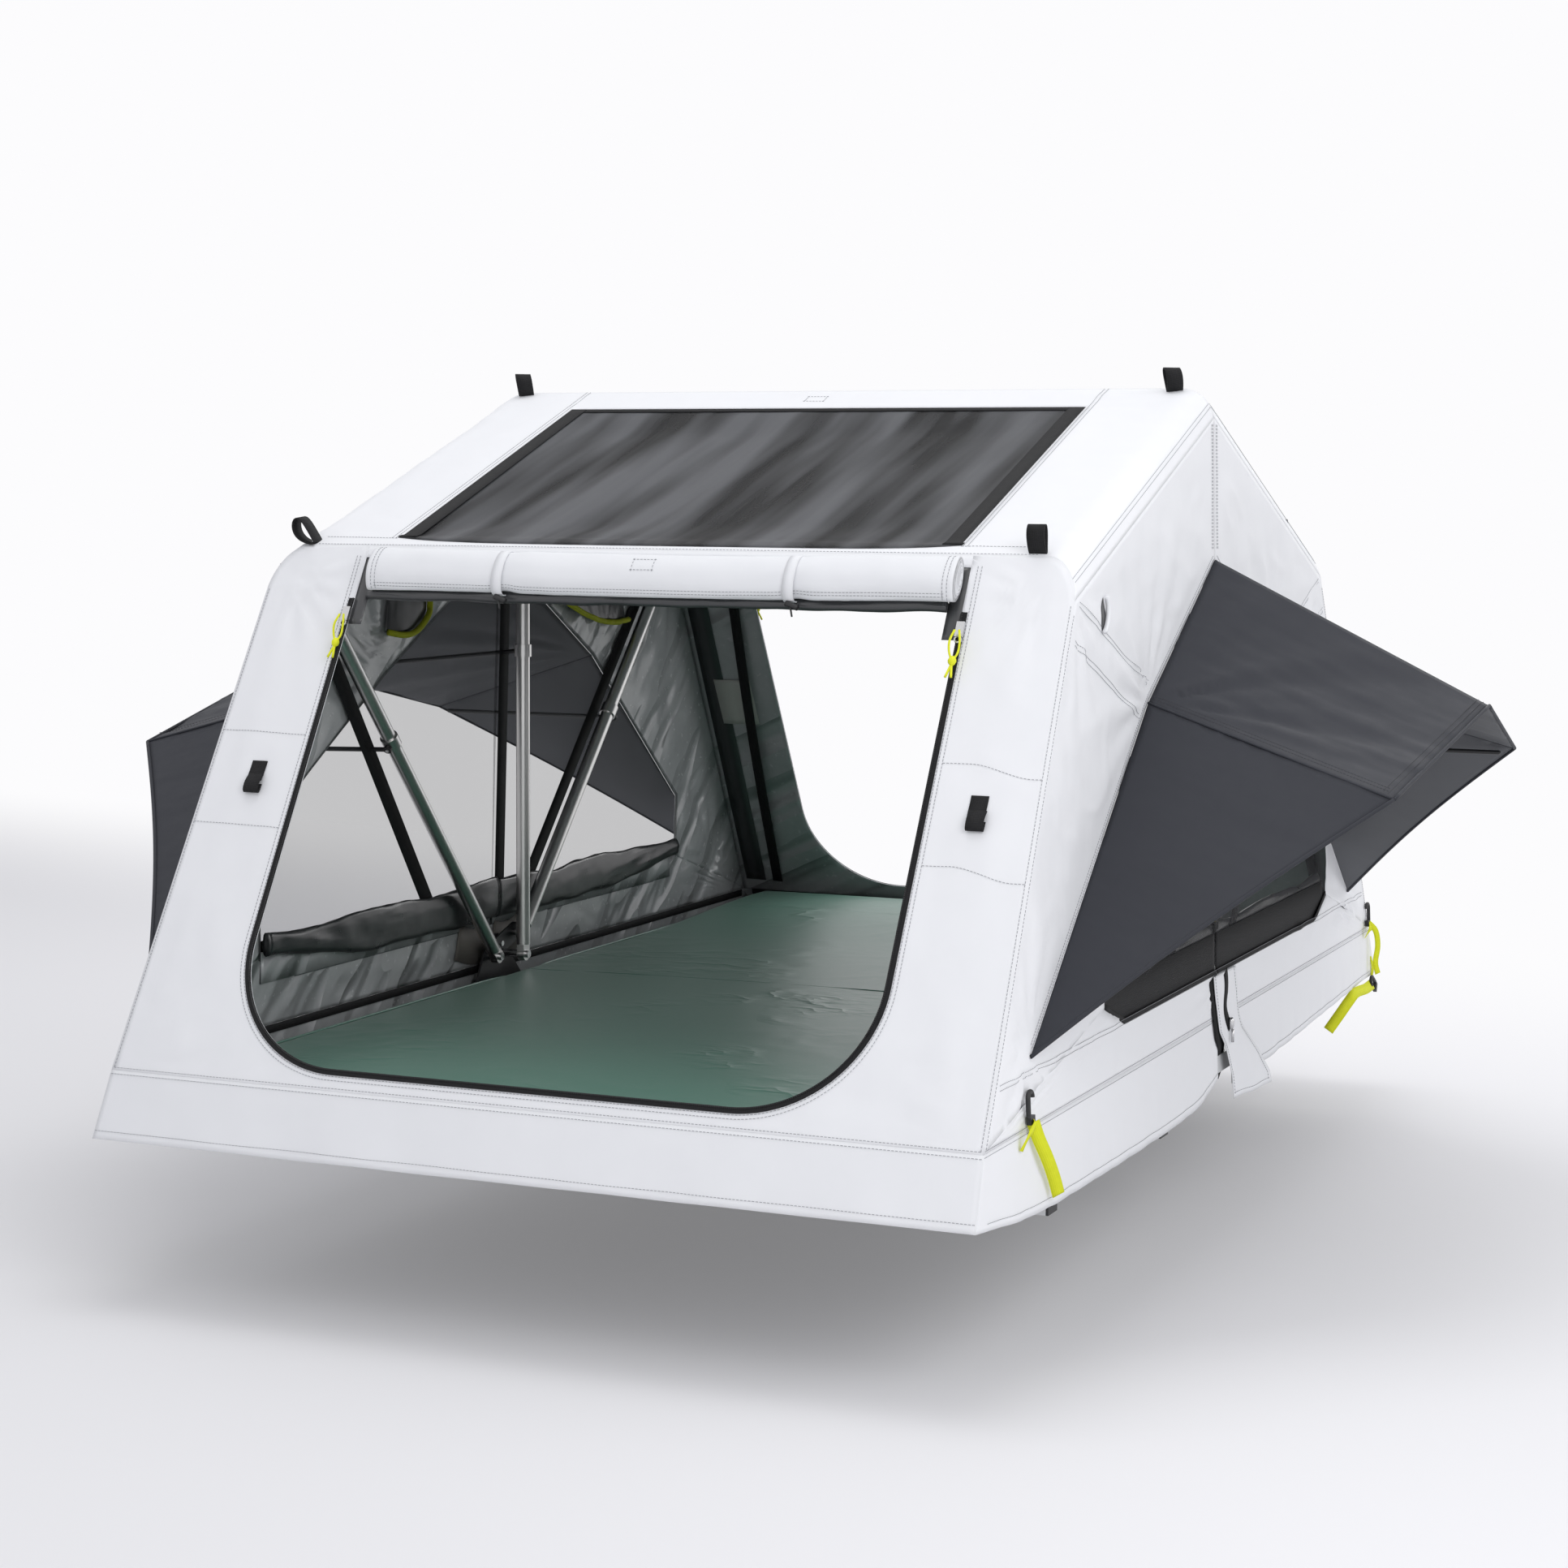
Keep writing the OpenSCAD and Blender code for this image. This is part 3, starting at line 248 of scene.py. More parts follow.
def moulded(name, colour, rough):
    """Moulded plastic with a fine spark texture."""
    p = Paint(name)
    at = p.place()
    grain = p.noise(at, 900.0, 2.0)
    slow = p.noise(at, 14.0, 2.0)
    lift = rgb(*[min(1, c * 1.5 + 0.01) for c in colour])
    return p.set(Base_Color=p.blend(slow * 0.6 + grain * 0.2, rgb(*colour), lift),
                 Roughness=rough + grain * 0.15, Normal=p.bump(grain, 0.0002, 0.5))


def webbing(name, dark, light, rough=0.75):
    """Woven tape: ribs across the run of the tape."""
    p = Paint(name)
    u, v, _ = p.split(p.uv())
    height = ridges(v, TAPE_PITCH) * 0.6 + ridges(u, CORD_PITCH) * 0.4
    wear = p.noise(p.uv(), 90.0, 2.0)
    return p.set(Base_Color=p.blend(height * 0.6 + wear * 0.4, rgb(*dark), rgb(*light)), Roughness=rough,
                 Normal=p.bump(height, 0.0005, 0.8), Specular_IOR_Level=0.25)


def solid_tape(name, dark, light):
    """The same tape on a copy of a solid, which has no cut of its own."""
    p = Paint(name)
    x, y, z = p.split(p.place())
    height = ridges(y + z, SOLID_TAPE_PITCH) * 0.6 + ridges(x, CORD_PITCH) * 0.4
    return p.set(Base_Color=p.blend(height, rgb(*dark), rgb(*light)), Roughness=0.8,
                 Normal=p.bump(height, 0.0005, 0.8), Specular_IOR_Level=0.25)


WHITE = tent_cloth("white_cloth", (0.875, 0.88, 0.90), (0.825, 0.833, 0.858), 0.62, 0.0065)
# A darker copy of the white cloth for the rolled door flap and its ties: painted shade of the roll
ROLLED_WHITE_SHADED = tent_cloth("rolled_white_cloth_painted_shade", (0.85, 0.857, 0.878), (0.79, 0.80, 0.825), 0.62, 0.0060,
                    grain=(5.0, 6.0, 1.0))
COAT = coating()
SHADE = tent_cloth("awning_cloth", (0.042, 0.044, 0.053), (0.029, 0.031, 0.038), 0.66, 0.0030, 0.02,
                   grain=(7.0, 2.5, 1.0), spec=0.2)
# Underside of the awnings: a lighter grey than the awning cloth, painted glow standing in for daylight shining
# through the thin fabric
AWNING_UNDERSIDE_GLOW = tent_cloth("awning_underside_painted_glow", (0.150, 0.155, 0.166), (0.100, 0.104, 0.113), 0.6, 0.004, 0.0, spec=0.2)
DARK = tent_cloth("dark_flap_cloth", (0.050, 0.052, 0.055), (0.030, 0.031, 0.034), 0.32, 0.007, 0.0,
                  grain=(3.0, 5.0, 1.0), spec=0.7, weave=0.02)
FLAP = tent_cloth("window_flap_cloth", (0.030, 0.032, 0.034), (0.018, 0.019, 0.021), 0.30, 0.003, 0.0,
                  grain=(5.0, 9.0, 1.0), spec=0.7, weave=0.0)
PATCH = tent_cloth("hub_patch_cloth", (0.20, 0.185, 0.165), (0.13, 0.12, 0.11), 0.6, 0.004)
PALE = tent_cloth("pale_patch", (0.62, 0.62, 0.58), (0.52, 0.52, 0.485), 0.5, 0.003)
# Both nettings are painted lighter on their fold crests: painted sheen, faint on the window netting and strong on
# the skylight netting
NET = net("window_net", (0.030, 0.031, 0.034), (0.050, 0.051, 0.055), 0.255, 0.6, 0.1, 0.002, 0.15)
SKY_NET_PAINTED_SHEEN = net("skylight_net_painted_sheen", (0.005, 0.005, 0.006), (0.118, 0.121, 0.130), 0.82, 0.52, 0.06, 0.03, 0.2)
BED = bed_cover()
TUBE = metal("drawn_aluminium", (0.76, 0.755, 0.745), 0.32)
FRAME = metal("frame_aluminium", (0.60, 0.61, 0.62), 0.38, stretch=(3.0, 60.0, 60.0))
STEEL = metal("bright_steel", (0.66, 0.66, 0.67), 0.26, stretch=(40.0, 40.0, 40.0))
HUB = metal("hub_paint", (0.035, 0.035, 0.038), 0.42, 0.2, wear=0.3)
ROD = metal("rod_paint", (0.022, 0.022, 0.024), 0.38, 0.0, wear=0.3)
PLASTIC = moulded("black_plastic", (0.010, 0.010, 0.011), 0.45)
DECK = moulded("floor_board", (0.09, 0.093, 0.096), 0.55)
TAPE = webbing("black_tape", (0.004, 0.004, 0.005), (0.020, 0.020, 0.021))
LIME = webbing("lime_tape", (0.62, 0.66, 0.01), (0.86, 0.90, 0.03), 0.65)
LIME_CORD = moulded("lime_cord", (0.66, 0.70, 0.012), 0.6)
OLIVE = webbing("lime_binding", (0.31, 0.34, 0.01), (0.45, 0.48, 0.02), 0.7)
THREAD = moulded("grey_thread", (0.26, 0.265, 0.28), 0.8)
DARK_THREAD = moulded("dark_thread", (0.020, 0.020, 0.024), 0.8)
TEETH = moulded("zip_teeth", (0.012, 0.012, 0.013), 0.35)
ZIP = solid_tape("zip_tape", (0.005, 0.005, 0.006), (0.02, 0.02, 0.021))


# ---- mesh helpers ----------------------------------------------------------

def new_object(name, verts, faces, mats, uvs=None, smooth=True):
    me = bpy.data.meshes.new(name)
    me.from_pydata([tuple(v) for v in verts], [], faces)
    for m in mats:
        me.materials.append(m)
    layer = me.uv_layers.new(name="cut")
    if uvs is not None:
        for loop in me.loops:
            layer.data[loop.index].uv = uvs[loop.vertex_index]
    me.polygons.foreach_set("use_smooth", [smooth] * len(me.polygons))
    o = bpy.data.objects.new(name, me)
    bpy.context.scene.collection.objects.link(o)
    return o


def baked(o):
    """The object with its modifiers worked into the mesh."""
    bpy.context.view_layer.update()
    got = o.evaluated_get(bpy.context.evaluated_depsgraph_get())
    me = bpy.data.meshes.new_from_object(got)
    o.modifiers.clear()
    o.data = me
    me.name = o.name
    return o


def grid_object(name, rows, uvs, mats, flip=False, closed=False, skip=None):
    """A sheet through rows of points, each with its place on the flat cut."""
    n, m = len(rows), len(rows[0])
    verts = [p for r in rows for p in r]
    cut = [q for r in uvs for q in r]
    faces = []
    for i in range(n - 1):
        for j in range(m if closed else m - 1):
            if skip and skip(i, j):
                continue
            k = (j + 1) % m
            f = (i * m + j, i * m + k, (i + 1) * m + k, (i + 1) * m + j)
            faces.append(f[::-1] if flip else f)
    return new_object(name, verts, faces, mats, cut)


def facing(o, way):
    """Turns a sheet's outer side to the given direction."""
    way = Vector(way)
    if sum(f.normal.dot(way) * f.area for f in o.data.polygons) < 0:
        o.data.flip_normals()
    return o


def sheet_wall(o, thick=CLOTH, inside=1, way=None):
    """Gives a sheet its thickness on the inner side, with the second finish there."""
    if way is not None:
        facing(o, way)
    s = o.modifiers.new("wall", "SOLIDIFY")
    s.thickness, s.offset, s.material_offset = thick, -1.0, inside
    s.use_even_offset = False
    return baked(o)


def joined(name, parts):
    """Several meshes as one piece."""
    bm = bmesh.new()
    mats = []
    for o in parts:
        base = len(bm.faces)
        order = []
        for m in o.data.materials:
            if m not in mats:
                mats.append(m)
            order.append(mats.index(m))
        bm.from_mesh(o.data)
        bm.faces.ensure_lookup_table()
        for f in bm.faces[base:]:
            f.material_index = order[min(f.material_index, len(order) - 1)]
    me = bpy.data.meshes.new(name)
    bm.to_mesh(me)
    bm.free()
    for m in mats:
        me.materials.append(m)
    for o in parts:
        old = o.data
        bpy.data.objects.remove(o)
        bpy.data.meshes.remove(old)
    o = bpy.data.objects.new(name, me)
    bpy.context.scene.collection.objects.link(o)
    return o


def merged(o, dist=0.00005):
    """The piece with points that coincide made one."""
    bm = bmesh.new()
    bm.from_mesh(o.data)
    bmesh.ops.remove_doubles(bm, verts=bm.verts, dist=dist)
    bm.to_mesh(o.data)
    bm.free()
    return o


def shaped_as(node, finish):
    """A piece of the node's own shape, for a rigid trim that folds away with the cloth it is sewn to."""
    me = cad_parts[node].data.copy()
    me.materials.clear()
    me.materials.append(finish)
    o = bpy.data.objects.new(node + "_trim", me)
    bpy.context.scene.collection.objects.link(o)
    return merged(o)


def mount(o, body, slot, *nodes, folds=False, name=None):
    """Hangs a finished piece on its body; with folds, for cloth that flattens as the floor closes, the piece gets a
    mesh of its own.
    """
    if name:
        o.name = name
    if nodes:
        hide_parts(*nodes)
    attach(o, body)
    if folds:
        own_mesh(o)
    return o


HALVES = ((1, "front", "base"), (-1, "rear", "fold_out"))
SIDES = ((1, "right"), (-1, "left"))


def flipped(p, sx, sy):
    """A point of the right front quarter, moved to another quarter of the tent."""
    return Vector((p.x * sx, p.y * sy, p.z))


# Where each panel's crease pattern starts
WALL_SEED, ROOF_SEED = {1: 11.0, -1: 37.0}, {1: 5.0, -1: 23.0}


def side_seed(sx, sy):
    """The same for a side wall half."""
    return 3.0 + 10 * sx + 29 * sy


def middle(ring):
    return sum(ring, Vector()) / len(ring)


def capped(rows, cuts, first, last):
    """Rings of a tube, closed at both ends on a point."""
    n = len(rows[0])
    return [[first] * n, *rows, [last] * n], [cuts[0], *cuts, cuts[-1]]


# ---- the tent's surfaces: a point on each panel from its place on the cut ---

def on_front(x, v, out=0.0):
    """A point of the front wall: x across it, v up its slope, out from the cloth."""
    return Vector((x, -SEAM_Y + v * cos(WALL_A) - out * sin(WALL_A), SEAM_Z + v * sin(WALL_A) + out * cos(WALL_A)))


def on_side(y, h, out=0.0):
    """A point of the right side wall: y along it, h up it, out from the cloth."""
    return Vector((SEAM_X - h * sin(LEAN) + out * cos(LEAN), y, SEAM_Z + h * cos(LEAN) + out * sin(LEAN)))


def side_x(z):
    """How far out the side walls stand, at a height."""
    return SEAM_X - (z - SEAM_Z) * tan(LEAN)


def wall_half(v):
    """Half the width of an end wall, at a place up its slope."""
    return side_x(SEAM_Z + v * sin(WALL_A))


def roof_start(h):
    """Where the roof slope begins, for a line that far above it."""
    return h / tan(WALL_A - ROOF_A) + 0.0004


def roof_end(h):
    """Where it ends, at the fold of the roof."""
    return (BAR_Y - SPLIT + h * sin(ROOF_A)) / cos(ROOF_A)


def roof_edge_x(t):
    """Where the flat of the roof turns into the shoulder, at a place up the slope."""
    z = BAR_Z + t * sin(ROOF_A) - DROP * cos(ROOF_A)
    return side_x(z) - SHOULDER_R * sin(SHOULDER_W)


def on_roof(x, h, t, out=0.0, lean=0.0):
    """A point up the slope by t, sunk by h below the slope; lean turns its outward side."""
    up = h + out * cos(lean)
    return Vector((x + out * sin(lean), -BAR_Y + t * cos(ROOF_A) - up * sin(ROOF_A),
                   BAR_Z + t * sin(ROOF_A) + up * cos(ROOF_A)))


def shoulder(w, t, out=0.0):
    """A point of the right shoulder: w round the bend, t up the slope."""
    return on_roof(roof_edge_x(t) + SHOULDER_R * sin(w), -SHOULDER_R * (1 - cos(w)), t, out, w)


CORNER_T = roof_start(-DROP)
CORNER = shoulder(SHOULDER_W, CORNER_T)
RIDGE_H = (shoulder(SHOULDER_W, roof_end(-DROP)).z - SEAM_Z) / cos(LEAN)
CORNER_H = (CORNER.z - SEAM_Z) / cos(LEAN)
CORNER_V = (CORNER.z - SEAM_Z) / sin(WALL_A)

# Awning and window corners on the right-hand side of the front half
TIP, KINK, PEAK = (-0.966, 0.098), (-0.391, 0.548), (-SPLIT, 0.760)
SILL_H, SILL_FRONT, SILL_LEFT, SILL_REAR, CUT_Y, CUT_H = 0.077, 0.523, 0.660, 0.684, 0.102, 0.038
BROW = Vector((SEAM_X + 0.433, -SPLIT, 0.676))
HORN = Vector((SEAM_X + 0.390, -0.504, 0.569))
AWNING_N = Vector((0.09, -0.55, 0.83))


def tip_of(sx, sy):
    """The awning's lower tip; the left front one is sewn on nearer the corner."""
    return (-1.064, 0.12504) if sx < 0 < sy else TIP


def seg_dist(p, a, b):
    """How far a place is from a straight seam."""
    ax, ay = b[0] - a[0], b[1] - a[1]
    t = clamp(((p[0] - a[0]) * ax + (p[1] - a[1]) * ay) / (ax * ax + ay * ay))
    return hypot(p[0] - a[0] - t * ax, p[1] - a[1] - t * ay)


def door_dist(x, v):
    """How far a place on an end wall is from the door's edge, less than 0 inside it."""
    qx, qy = abs(x) - (DOOR_W - DOOR_R), DOOR_SILL + DOOR_R - v
    return hypot(max(qx, 0), max(qy, 0)) + min(max(qx, qy), 0) - DOOR_R


def slack(x, y, seed, fine_y=1.0, fine_x=1.0):
    """Soft creases of a cloth under tension: long in y, short in x, between -1 and 1."""
    a = noise.noise(Vector((x * 7 * fine_x, y * 1.8 * fine_y, seed)))
    b = noise.noise(Vector((x * 19 * fine_x + 3, y * 6 * fine_y, seed + 7.3)))
    c = noise.noise(Vector((x * 11 + y * 8, y * 9 - x * 6, seed + 3.1)))
    d = (1 - abs(c)) ** 5 - 0.3
    return 0.55 * a + 0.28 * b + 0.25 * d


def pull(x, y, cx, cy, reach, count, seed):
    """Creases that fan out from a point where the cloth is held."""
    dx, dy = x - cx, y - cy
    r = hypot(dx, dy)
    return exp(-r / reach) * min(1, r / 0.02) * sin(atan2(dy, dx) * count + seed)


def front_slack(x, v, seed):
    """How far an end wall's cloth stands out or in, held flat at its edges."""
    d = min(door_dist(x, v), v, wall_half(v) - abs(x), max(0.0, WALL_L - v))
    f = ease(0.004, 0.06, d)
    held = sum(pull(x, v, s * 0.62, 0.83, 0.10, 13, seed + s) + pull(x, v, s * 0.66, 0.02, 0.08, 11, seed)
               for s in (-1, 1))
    return f * (0.0062 * slack(x, v, seed, 1.0, 1.3) + 0.0034 * held)


SIDE_LINES = [((-SEAM_Y, 0), (CORNER.y, CORNER_H)), ((CORNER.y, CORNER_H), (0, RIDGE_H)), ((-SEAM_Y, 0), (0, 0)),
              (TIP, KINK), (KINK, PEAK), ((-SILL_FRONT, SILL_H), (0, SILL_H)), ((0, PEAK[1]), (0, RIDGE_H)),
              ((0, 0), (0, SILL_H))]


def side_slack(y, h, seed):
    """The same for a side wall, held at its edges, seams and corners."""
    d = min(seg_dist((y, h), a, b) for a, b in SIDE_LINES)
    f = ease(0.003, 0.06, d)
    held = (pull(y, h, KINK[0], KINK[1], 0.16, 15, seed) + pull(y, h, CORNER.y, CORNER_H, 0.12, 13, seed)
            + pull(y, h, TIP[0], TIP[1], 0.10, 12, seed) + pull(y, h, -0.03, 0.05, 0.12, 14, seed))
    turned = slack(0.8 * y + 0.6 * h, 0.8 * h - 0.6 * y, seed, 1.2, 1.0)
    return f * (0.0085 * turned + 0.0055 * held)


def roof_slack(x, t, seed, sky):
    """The same for the roof, held at the bars and round the skylight."""
    edge = min(t, roof_end(0) - t, 0.2)
    if sky:
        qx, qy = abs(x) - SKY_W, abs(t - (SKY_LOW + SKY_TOP) / 2) - (SKY_TOP - SKY_LOW) / 2
        edge = min(edge, hypot(max(qx, 0), max(qy, 0)))
    f = ease(0.004, 0.07, edge)
    held = sum(pull(x, t, s * SKY_W, q, 0.07, 11, seed) for s in (-1, 1) for q in (SKY_LOW, SKY_TOP))
    bar = exp(-((t - 0.02) / 0.03) ** 2) + exp(-((roof_end(0) - t - 0.02) / 0.03) ** 2)
    return f * (0.0046 * slack(t, x, seed, 0.8, 1.1) + 0.0016 * held + 0.0012 * bar) - 0.004 * ease(0.02, 0.3, edge)


def steps(a, b, n):
    """Evenly spaced values from a to b, in n steps."""
    return [mix(a, b, i / n) for i in range(n + 1)]


def polyline(*legs):
    """Joins runs of points without repeating the shared ones."""
    out = list(legs[0])
    for run in legs[1:]:
        out += run[1:]
    return out


def along(a, b, n):
    """Places on the straight line between two."""
    return [(mix(a[0], b[0], t), mix(a[1], b[1], t)) for t in steps(0, 1, n)]


def grid_of(us, vs, at):
    """Rows of points and of their places on the cut; at(u, v) gives one of each."""
    both = [[at(u, v) for v in vs] for u in us]
    return [[p for p, _ in r] for r in both], [[c for _, c in r] for r in both]


def wall_at(sy, x, v, out=0.0):
    """A point of an end wall."""
    return flipped(on_front(x, v, out), 1, sy)


def wall_cloth(sy, x, v, lift=0.0):
    """A point of an end wall's creased cloth, or a little over it."""
    return wall_at(sy, x, v, front_slack(x, v, WALL_SEED[sy]) + lift)


def side_at(sx, sy, y, h, out=0.0):
    """A point of a side wall."""
    return flipped(on_side(y, h, out), sx, sy)


def side_cloth(sx, sy, y, h, lift=0.0):
    """A point of a side wall's creased cloth, or a little over it."""
    return side_at(sx, sy, y, h, side_slack(y, h, side_seed(sx, sy)) + lift)


# ---- end walls -------------------------------------------------------------

def door_outline(grow=0.0, top=None):
    """The door's edge from its upper left, round the sill, to its upper right, as (x, v)."""
    w, r, s = DOOR_W + grow, DOOR_R + grow, DOOR_SILL - grow
    head = DOOR_HEAD if top is None else top
    left = [(-w, mix(head, s + r, t)) for t in steps(0, 1, 44)]
    turn = [(-w + r - r * cos(a), s + r - r * sin(a)) for a in steps(0, pi / 2, 24)]
    sill = [(mix(-w + r, w - r, t), s) for t in steps(0, 1, 48)]
    half = polyline(left, turn, sill)
    right = [(-x, v) for x, v in reversed(polyline(left, turn))]
    return half + right[1:]


def wall_outline():
    """The wall's outer edge, matched point for point with the door's edge."""
    bend = [shoulder(w, roof_start(-SHOULDER_R * (1 - cos(w)))) for w in steps(0, SHOULDER_W, 10)]
    bend = [(-p.x, (p.z - SEAM_Z) / sin(WALL_A)) for p in bend]
    crease = [(mix(-DOOR_W, bend[0][0], t), mix(WALL_L, bend[0][1], t)) for t in steps(0, 1, 6)]
    low = 0.26
    edge = [(-wall_half(v), v) for v in steps(CORNER_V, low, 28)]
    left = polyline(crease, bend, edge)
    foot = [(-wall_half(v), v) for v in steps(low, 0.0, 12)]
    base = [(x, 0.0) for x in steps(-SEAM_X, -DOOR_W + DOOR_R, 12)]
    turn = polyline(foot, base)
    sill = [(x, 0.0) for x in steps(-DOOR_W + DOOR_R, DOOR_W - DOOR_R, 48)]
    half = polyline(left, turn)
    return polyline(half, sill) + [(-x, v) for x, v in reversed(half)][1:]


def end_wall(sy, end):
    """The cloth round a door, with a narrow strip over the door's head."""
    cuts = [along(a, b, 18) for a, b in zip(door_outline(), wall_outline())]
    rows = [[wall_cloth(sy, x, v) for x, v in pts] for pts in cuts]
    ring = grid_object("ring", rows, cuts, [WHITE, COAT], flip=sy < 0)
    strip = grid_of(steps(-DOOR_W, DOOR_W, 60), steps(DOOR_HEAD, WALL_L, 3),
                    lambda x, v: (wall_at(sy, x, v), (x, v)))
    head = grid_object("head", *strip, [WHITE, COAT], flip=sy > 0)
    for part in (ring, head):
        facing(part, (0, -sy, 0.5))
    return sheet_wall(merged(joined(f"{end}_wall_cloth", [ring, head])))


# ---- roof ------------------------------------------------------------------

def roof_half(sy, end):
    """One slope of the roof with its two rounded shoulders; the front one is cut out for the skylight."""
    seed, sky = ROOF_SEED[sy], sy > 0
    wide, length = 0.6, roof_end(0)
    rim = SKY_W / wide
    flats = polyline(steps(-1, -rim, 10), steps(-rim, rim, 56), steps(rim, 1, 10))
    bends = steps(0, SHOULDER_W, 12)[1:]
    across = [("bend", -w) for w in reversed(bends)] + [("flat", f) for f in flats] + [("bend", w) for w in bends]
    ups = polyline(steps(0, SKY_LOW / length, 6), steps(SKY_LOW / length, SKY_TOP / length, 44),
                   steps(SKY_TOP / length, 1, 8))

    def at(spot, f):
        kind, q = spot
        w = abs(q)
        if kind == "flat":
            t = mix(roof_start(0), length, f)
            x = q * wide if w <= rim + 1e-6 else copysign(mix(SKY_W, roof_edge_x(t), (w - rim) / (1 - rim)), q)
            return flipped(on_roof(x, 0, t, roof_slack(x, t, seed, sky)), 1, sy), (x, t)
        h = -SHOULDER_R * (1 - cos(w))
        t = mix(roof_start(h), roof_end(h), f)
        edge = roof_edge_x(t)
        fade = 1 - ease(0.2, 1, w / SHOULDER_W)
        p = shoulder(w, t, roof_slack(edge, t, seed, sky) * fade)
        return flipped(p, copysign(1, q), sy), (copysign(edge + SHOULDER_R * w, q), t)

    rows, cuts = grid_of(across, ups, at)

    def hole(i, j):
        (x, t), (x2, t2) = cuts[i][j], cuts[i + 1][j + 1]
        mx, mt = (x + x2) / 2, (t + t2) / 2
        return sky and abs(mx) < SKY_W and SKY_LOW < mt < SKY_TOP

    o = grid_object(f"{end}_roof_cloth", rows, cuts, [WHITE, COAT], skip=hole)
    return sheet_wall(o, way=(0, 0, 1))


def skylight():
    """Netting slung below the roof cloth, sagging in slack folds that run up the slope."""
    lap, wide = 0.008, SKY_W + 0.002

    def at(x, f):
        t = mix(0.017 + 0.020 * min(1, abs(x) / SKY_W) ** 6, SKY_TOP + lap, f)
        k = ease(0.006, 0.12, min(wide - abs(x), t - SKY_LOW + lap, SKY_TOP + lap - t))
        q = x - 0.06 * t
        wave = sin(q * 30 + 1.4 * noise.noise(Vector((q * 4, t * 1.5, 2.0)))) + 0.45 * sin(q * 57 + t * 3)
        sag = 0.010 * k + k * 0.0050 * wave * (0.55 + noise.noise(Vector((q * 3, t * 2, 9.0))))
        return on_roof(x, 0, t, mix(0.0012, -0.0026, ease(0.036, 0.058, t)) - max(sag, -0.002)), (x, t)

    o = grid_object("skylight_netting", *grid_of(steps(-wide, wide, 90), steps(0, 1, 64), at), [SKY_NET_PAINTED_SHEEN])
    return sheet_wall(o, 0.0006, 0, (0, 0, 1))


def ribbon(path, normals, width, mat, thick=0.0008):
    """A flat tape along a path, lying on a surface; path and normals are points and outward directions."""
    n, w = len(path), width / 2
    rows, cuts, run = [], [], 0.0
    for i, c in enumerate(path):
        d = (path[min(i + 1, n - 1)] - path[max(i - 1, 0)]).normalized()
        side = d.cross(normals[i]).normalized()
        if i:
            run += (c - path[i - 1]).length
        rows.append([c - side * w, c, c + side * w])
        cuts.append([(-w, run), (0, run), (w, run)])
    o = grid_object("tape", rows, cuts, [mat], flip=True)
    if sum(f.normal.dot(normals[n // 2]) for f in o.data.polygons) < 0:
        o.data.flip_normals()
    return sheet_wall(o, thick, 0)


# ---- side walls ------------------------------------------------------------

def side_strip(sx, sy, outer, inner, m, name):
    """Cloth of a side wall between two edges, given as matching points."""
    cuts = [along(a, b, m) for a, b in zip(outer, inner)]
    rows = [[side_cloth(sx, sy, y, h) for y, h in pts] for pts in cuts]
    return grid_object(name, rows, cuts, [WHITE, COAT], flip=sx * sy < 0)


def window_low(sx, sy):
    """The lower corners of a window half: the upright edge's foot and the sill's end."""
    low = SILL_REAR if sy < 0 else SILL_FRONT if sx > 0 else SILL_LEFT
    return (-low - CUT_Y, SILL_H + CUT_H), (-low, SILL_H)


def seam_h(y, tip):
    """Height of the awning's seam on the wall."""
    return mix(tip[1], KINK[1], (y - tip[0]) / (KINK[0] - tip[0])) if y < KINK[0] else \
        mix(KINK[1], PEAK[1], (y - KINK[0]) / (PEAK[0] - KINK[0]))


def side_wall(sx, sy, side, end):
    """Half a side wall: the part over the window and awning seam, and the part under the sill."""
    foot, corner, ridge = (-SEAM_Y, 0.0), (CORNER.y, CORNER_H), (-SPLIT, RIDGE_H)
    post, sill = window_low(sx, sy)
    head = (post[0], seam_h(post[0], tip_of(sx, sy)))
    half = (mix(foot[0], corner[0], 0.5), mix(foot[1], corner[1], 0.5))
    upper = side_strip(sx, sy, polyline(along(post, head, 26), along(head, KINK, 40), along(KINK, PEAK, 40)),
                       polyline(along(foot, half, 26), along(half, corner, 40), along(corner, ridge, 40)),
                       30, "upper")
    under = (sill[0] - 0.25, 0.0)
    lower = side_strip(sx, sy, polyline(along(foot, under, 30), along(under, (-SPLIT, 0.0), 70)),
                       polyline(along(post, sill, 30), along(sill, (-SPLIT, SILL_H), 70)), 12, "lower")
    for part in (upper, lower):
        facing(part, (sx, 0, 0))
    return sheet_wall(merged(joined(f"{end}_{side}_wall_cloth", [upper, lower])))


def window_net(sx, sy):
    """Netting behind the window, a little slack."""
    lap, tip = 0.008, tip_of(sx, sy)
    post, sill = window_low(sx, sy)

    def at(y, f):
        foot = SILL_H - lap + (CUT_H * (y - sill[0]) / (post[0] - sill[0]) if y < sill[0] else 0)
        head = seam_h(y, tip)
        h = mix(foot, head + lap, f)
        k = ease(0.01, 0.1, min(head - h, abs(h - SILL_H), y - post[0]))
        w = k * 0.0025 * noise.noise(Vector((y * 6, h * 3, 4.0 + sx + sy)))
        return side_at(sx, sy, y, h, -0.0026 + w - 0.001 * k), (y, h)

    ys = polyline(steps(post[0] - lap, sill[0], 12), steps(sill[0], 0.003, 66))
    return sheet_wall(grid_object("net", *grid_of(ys, steps(0, 1, 24), at), [NET]), 0.0006, 0, (sx, 0, 0))


# ---- skirts ----------------------------------------------------------------

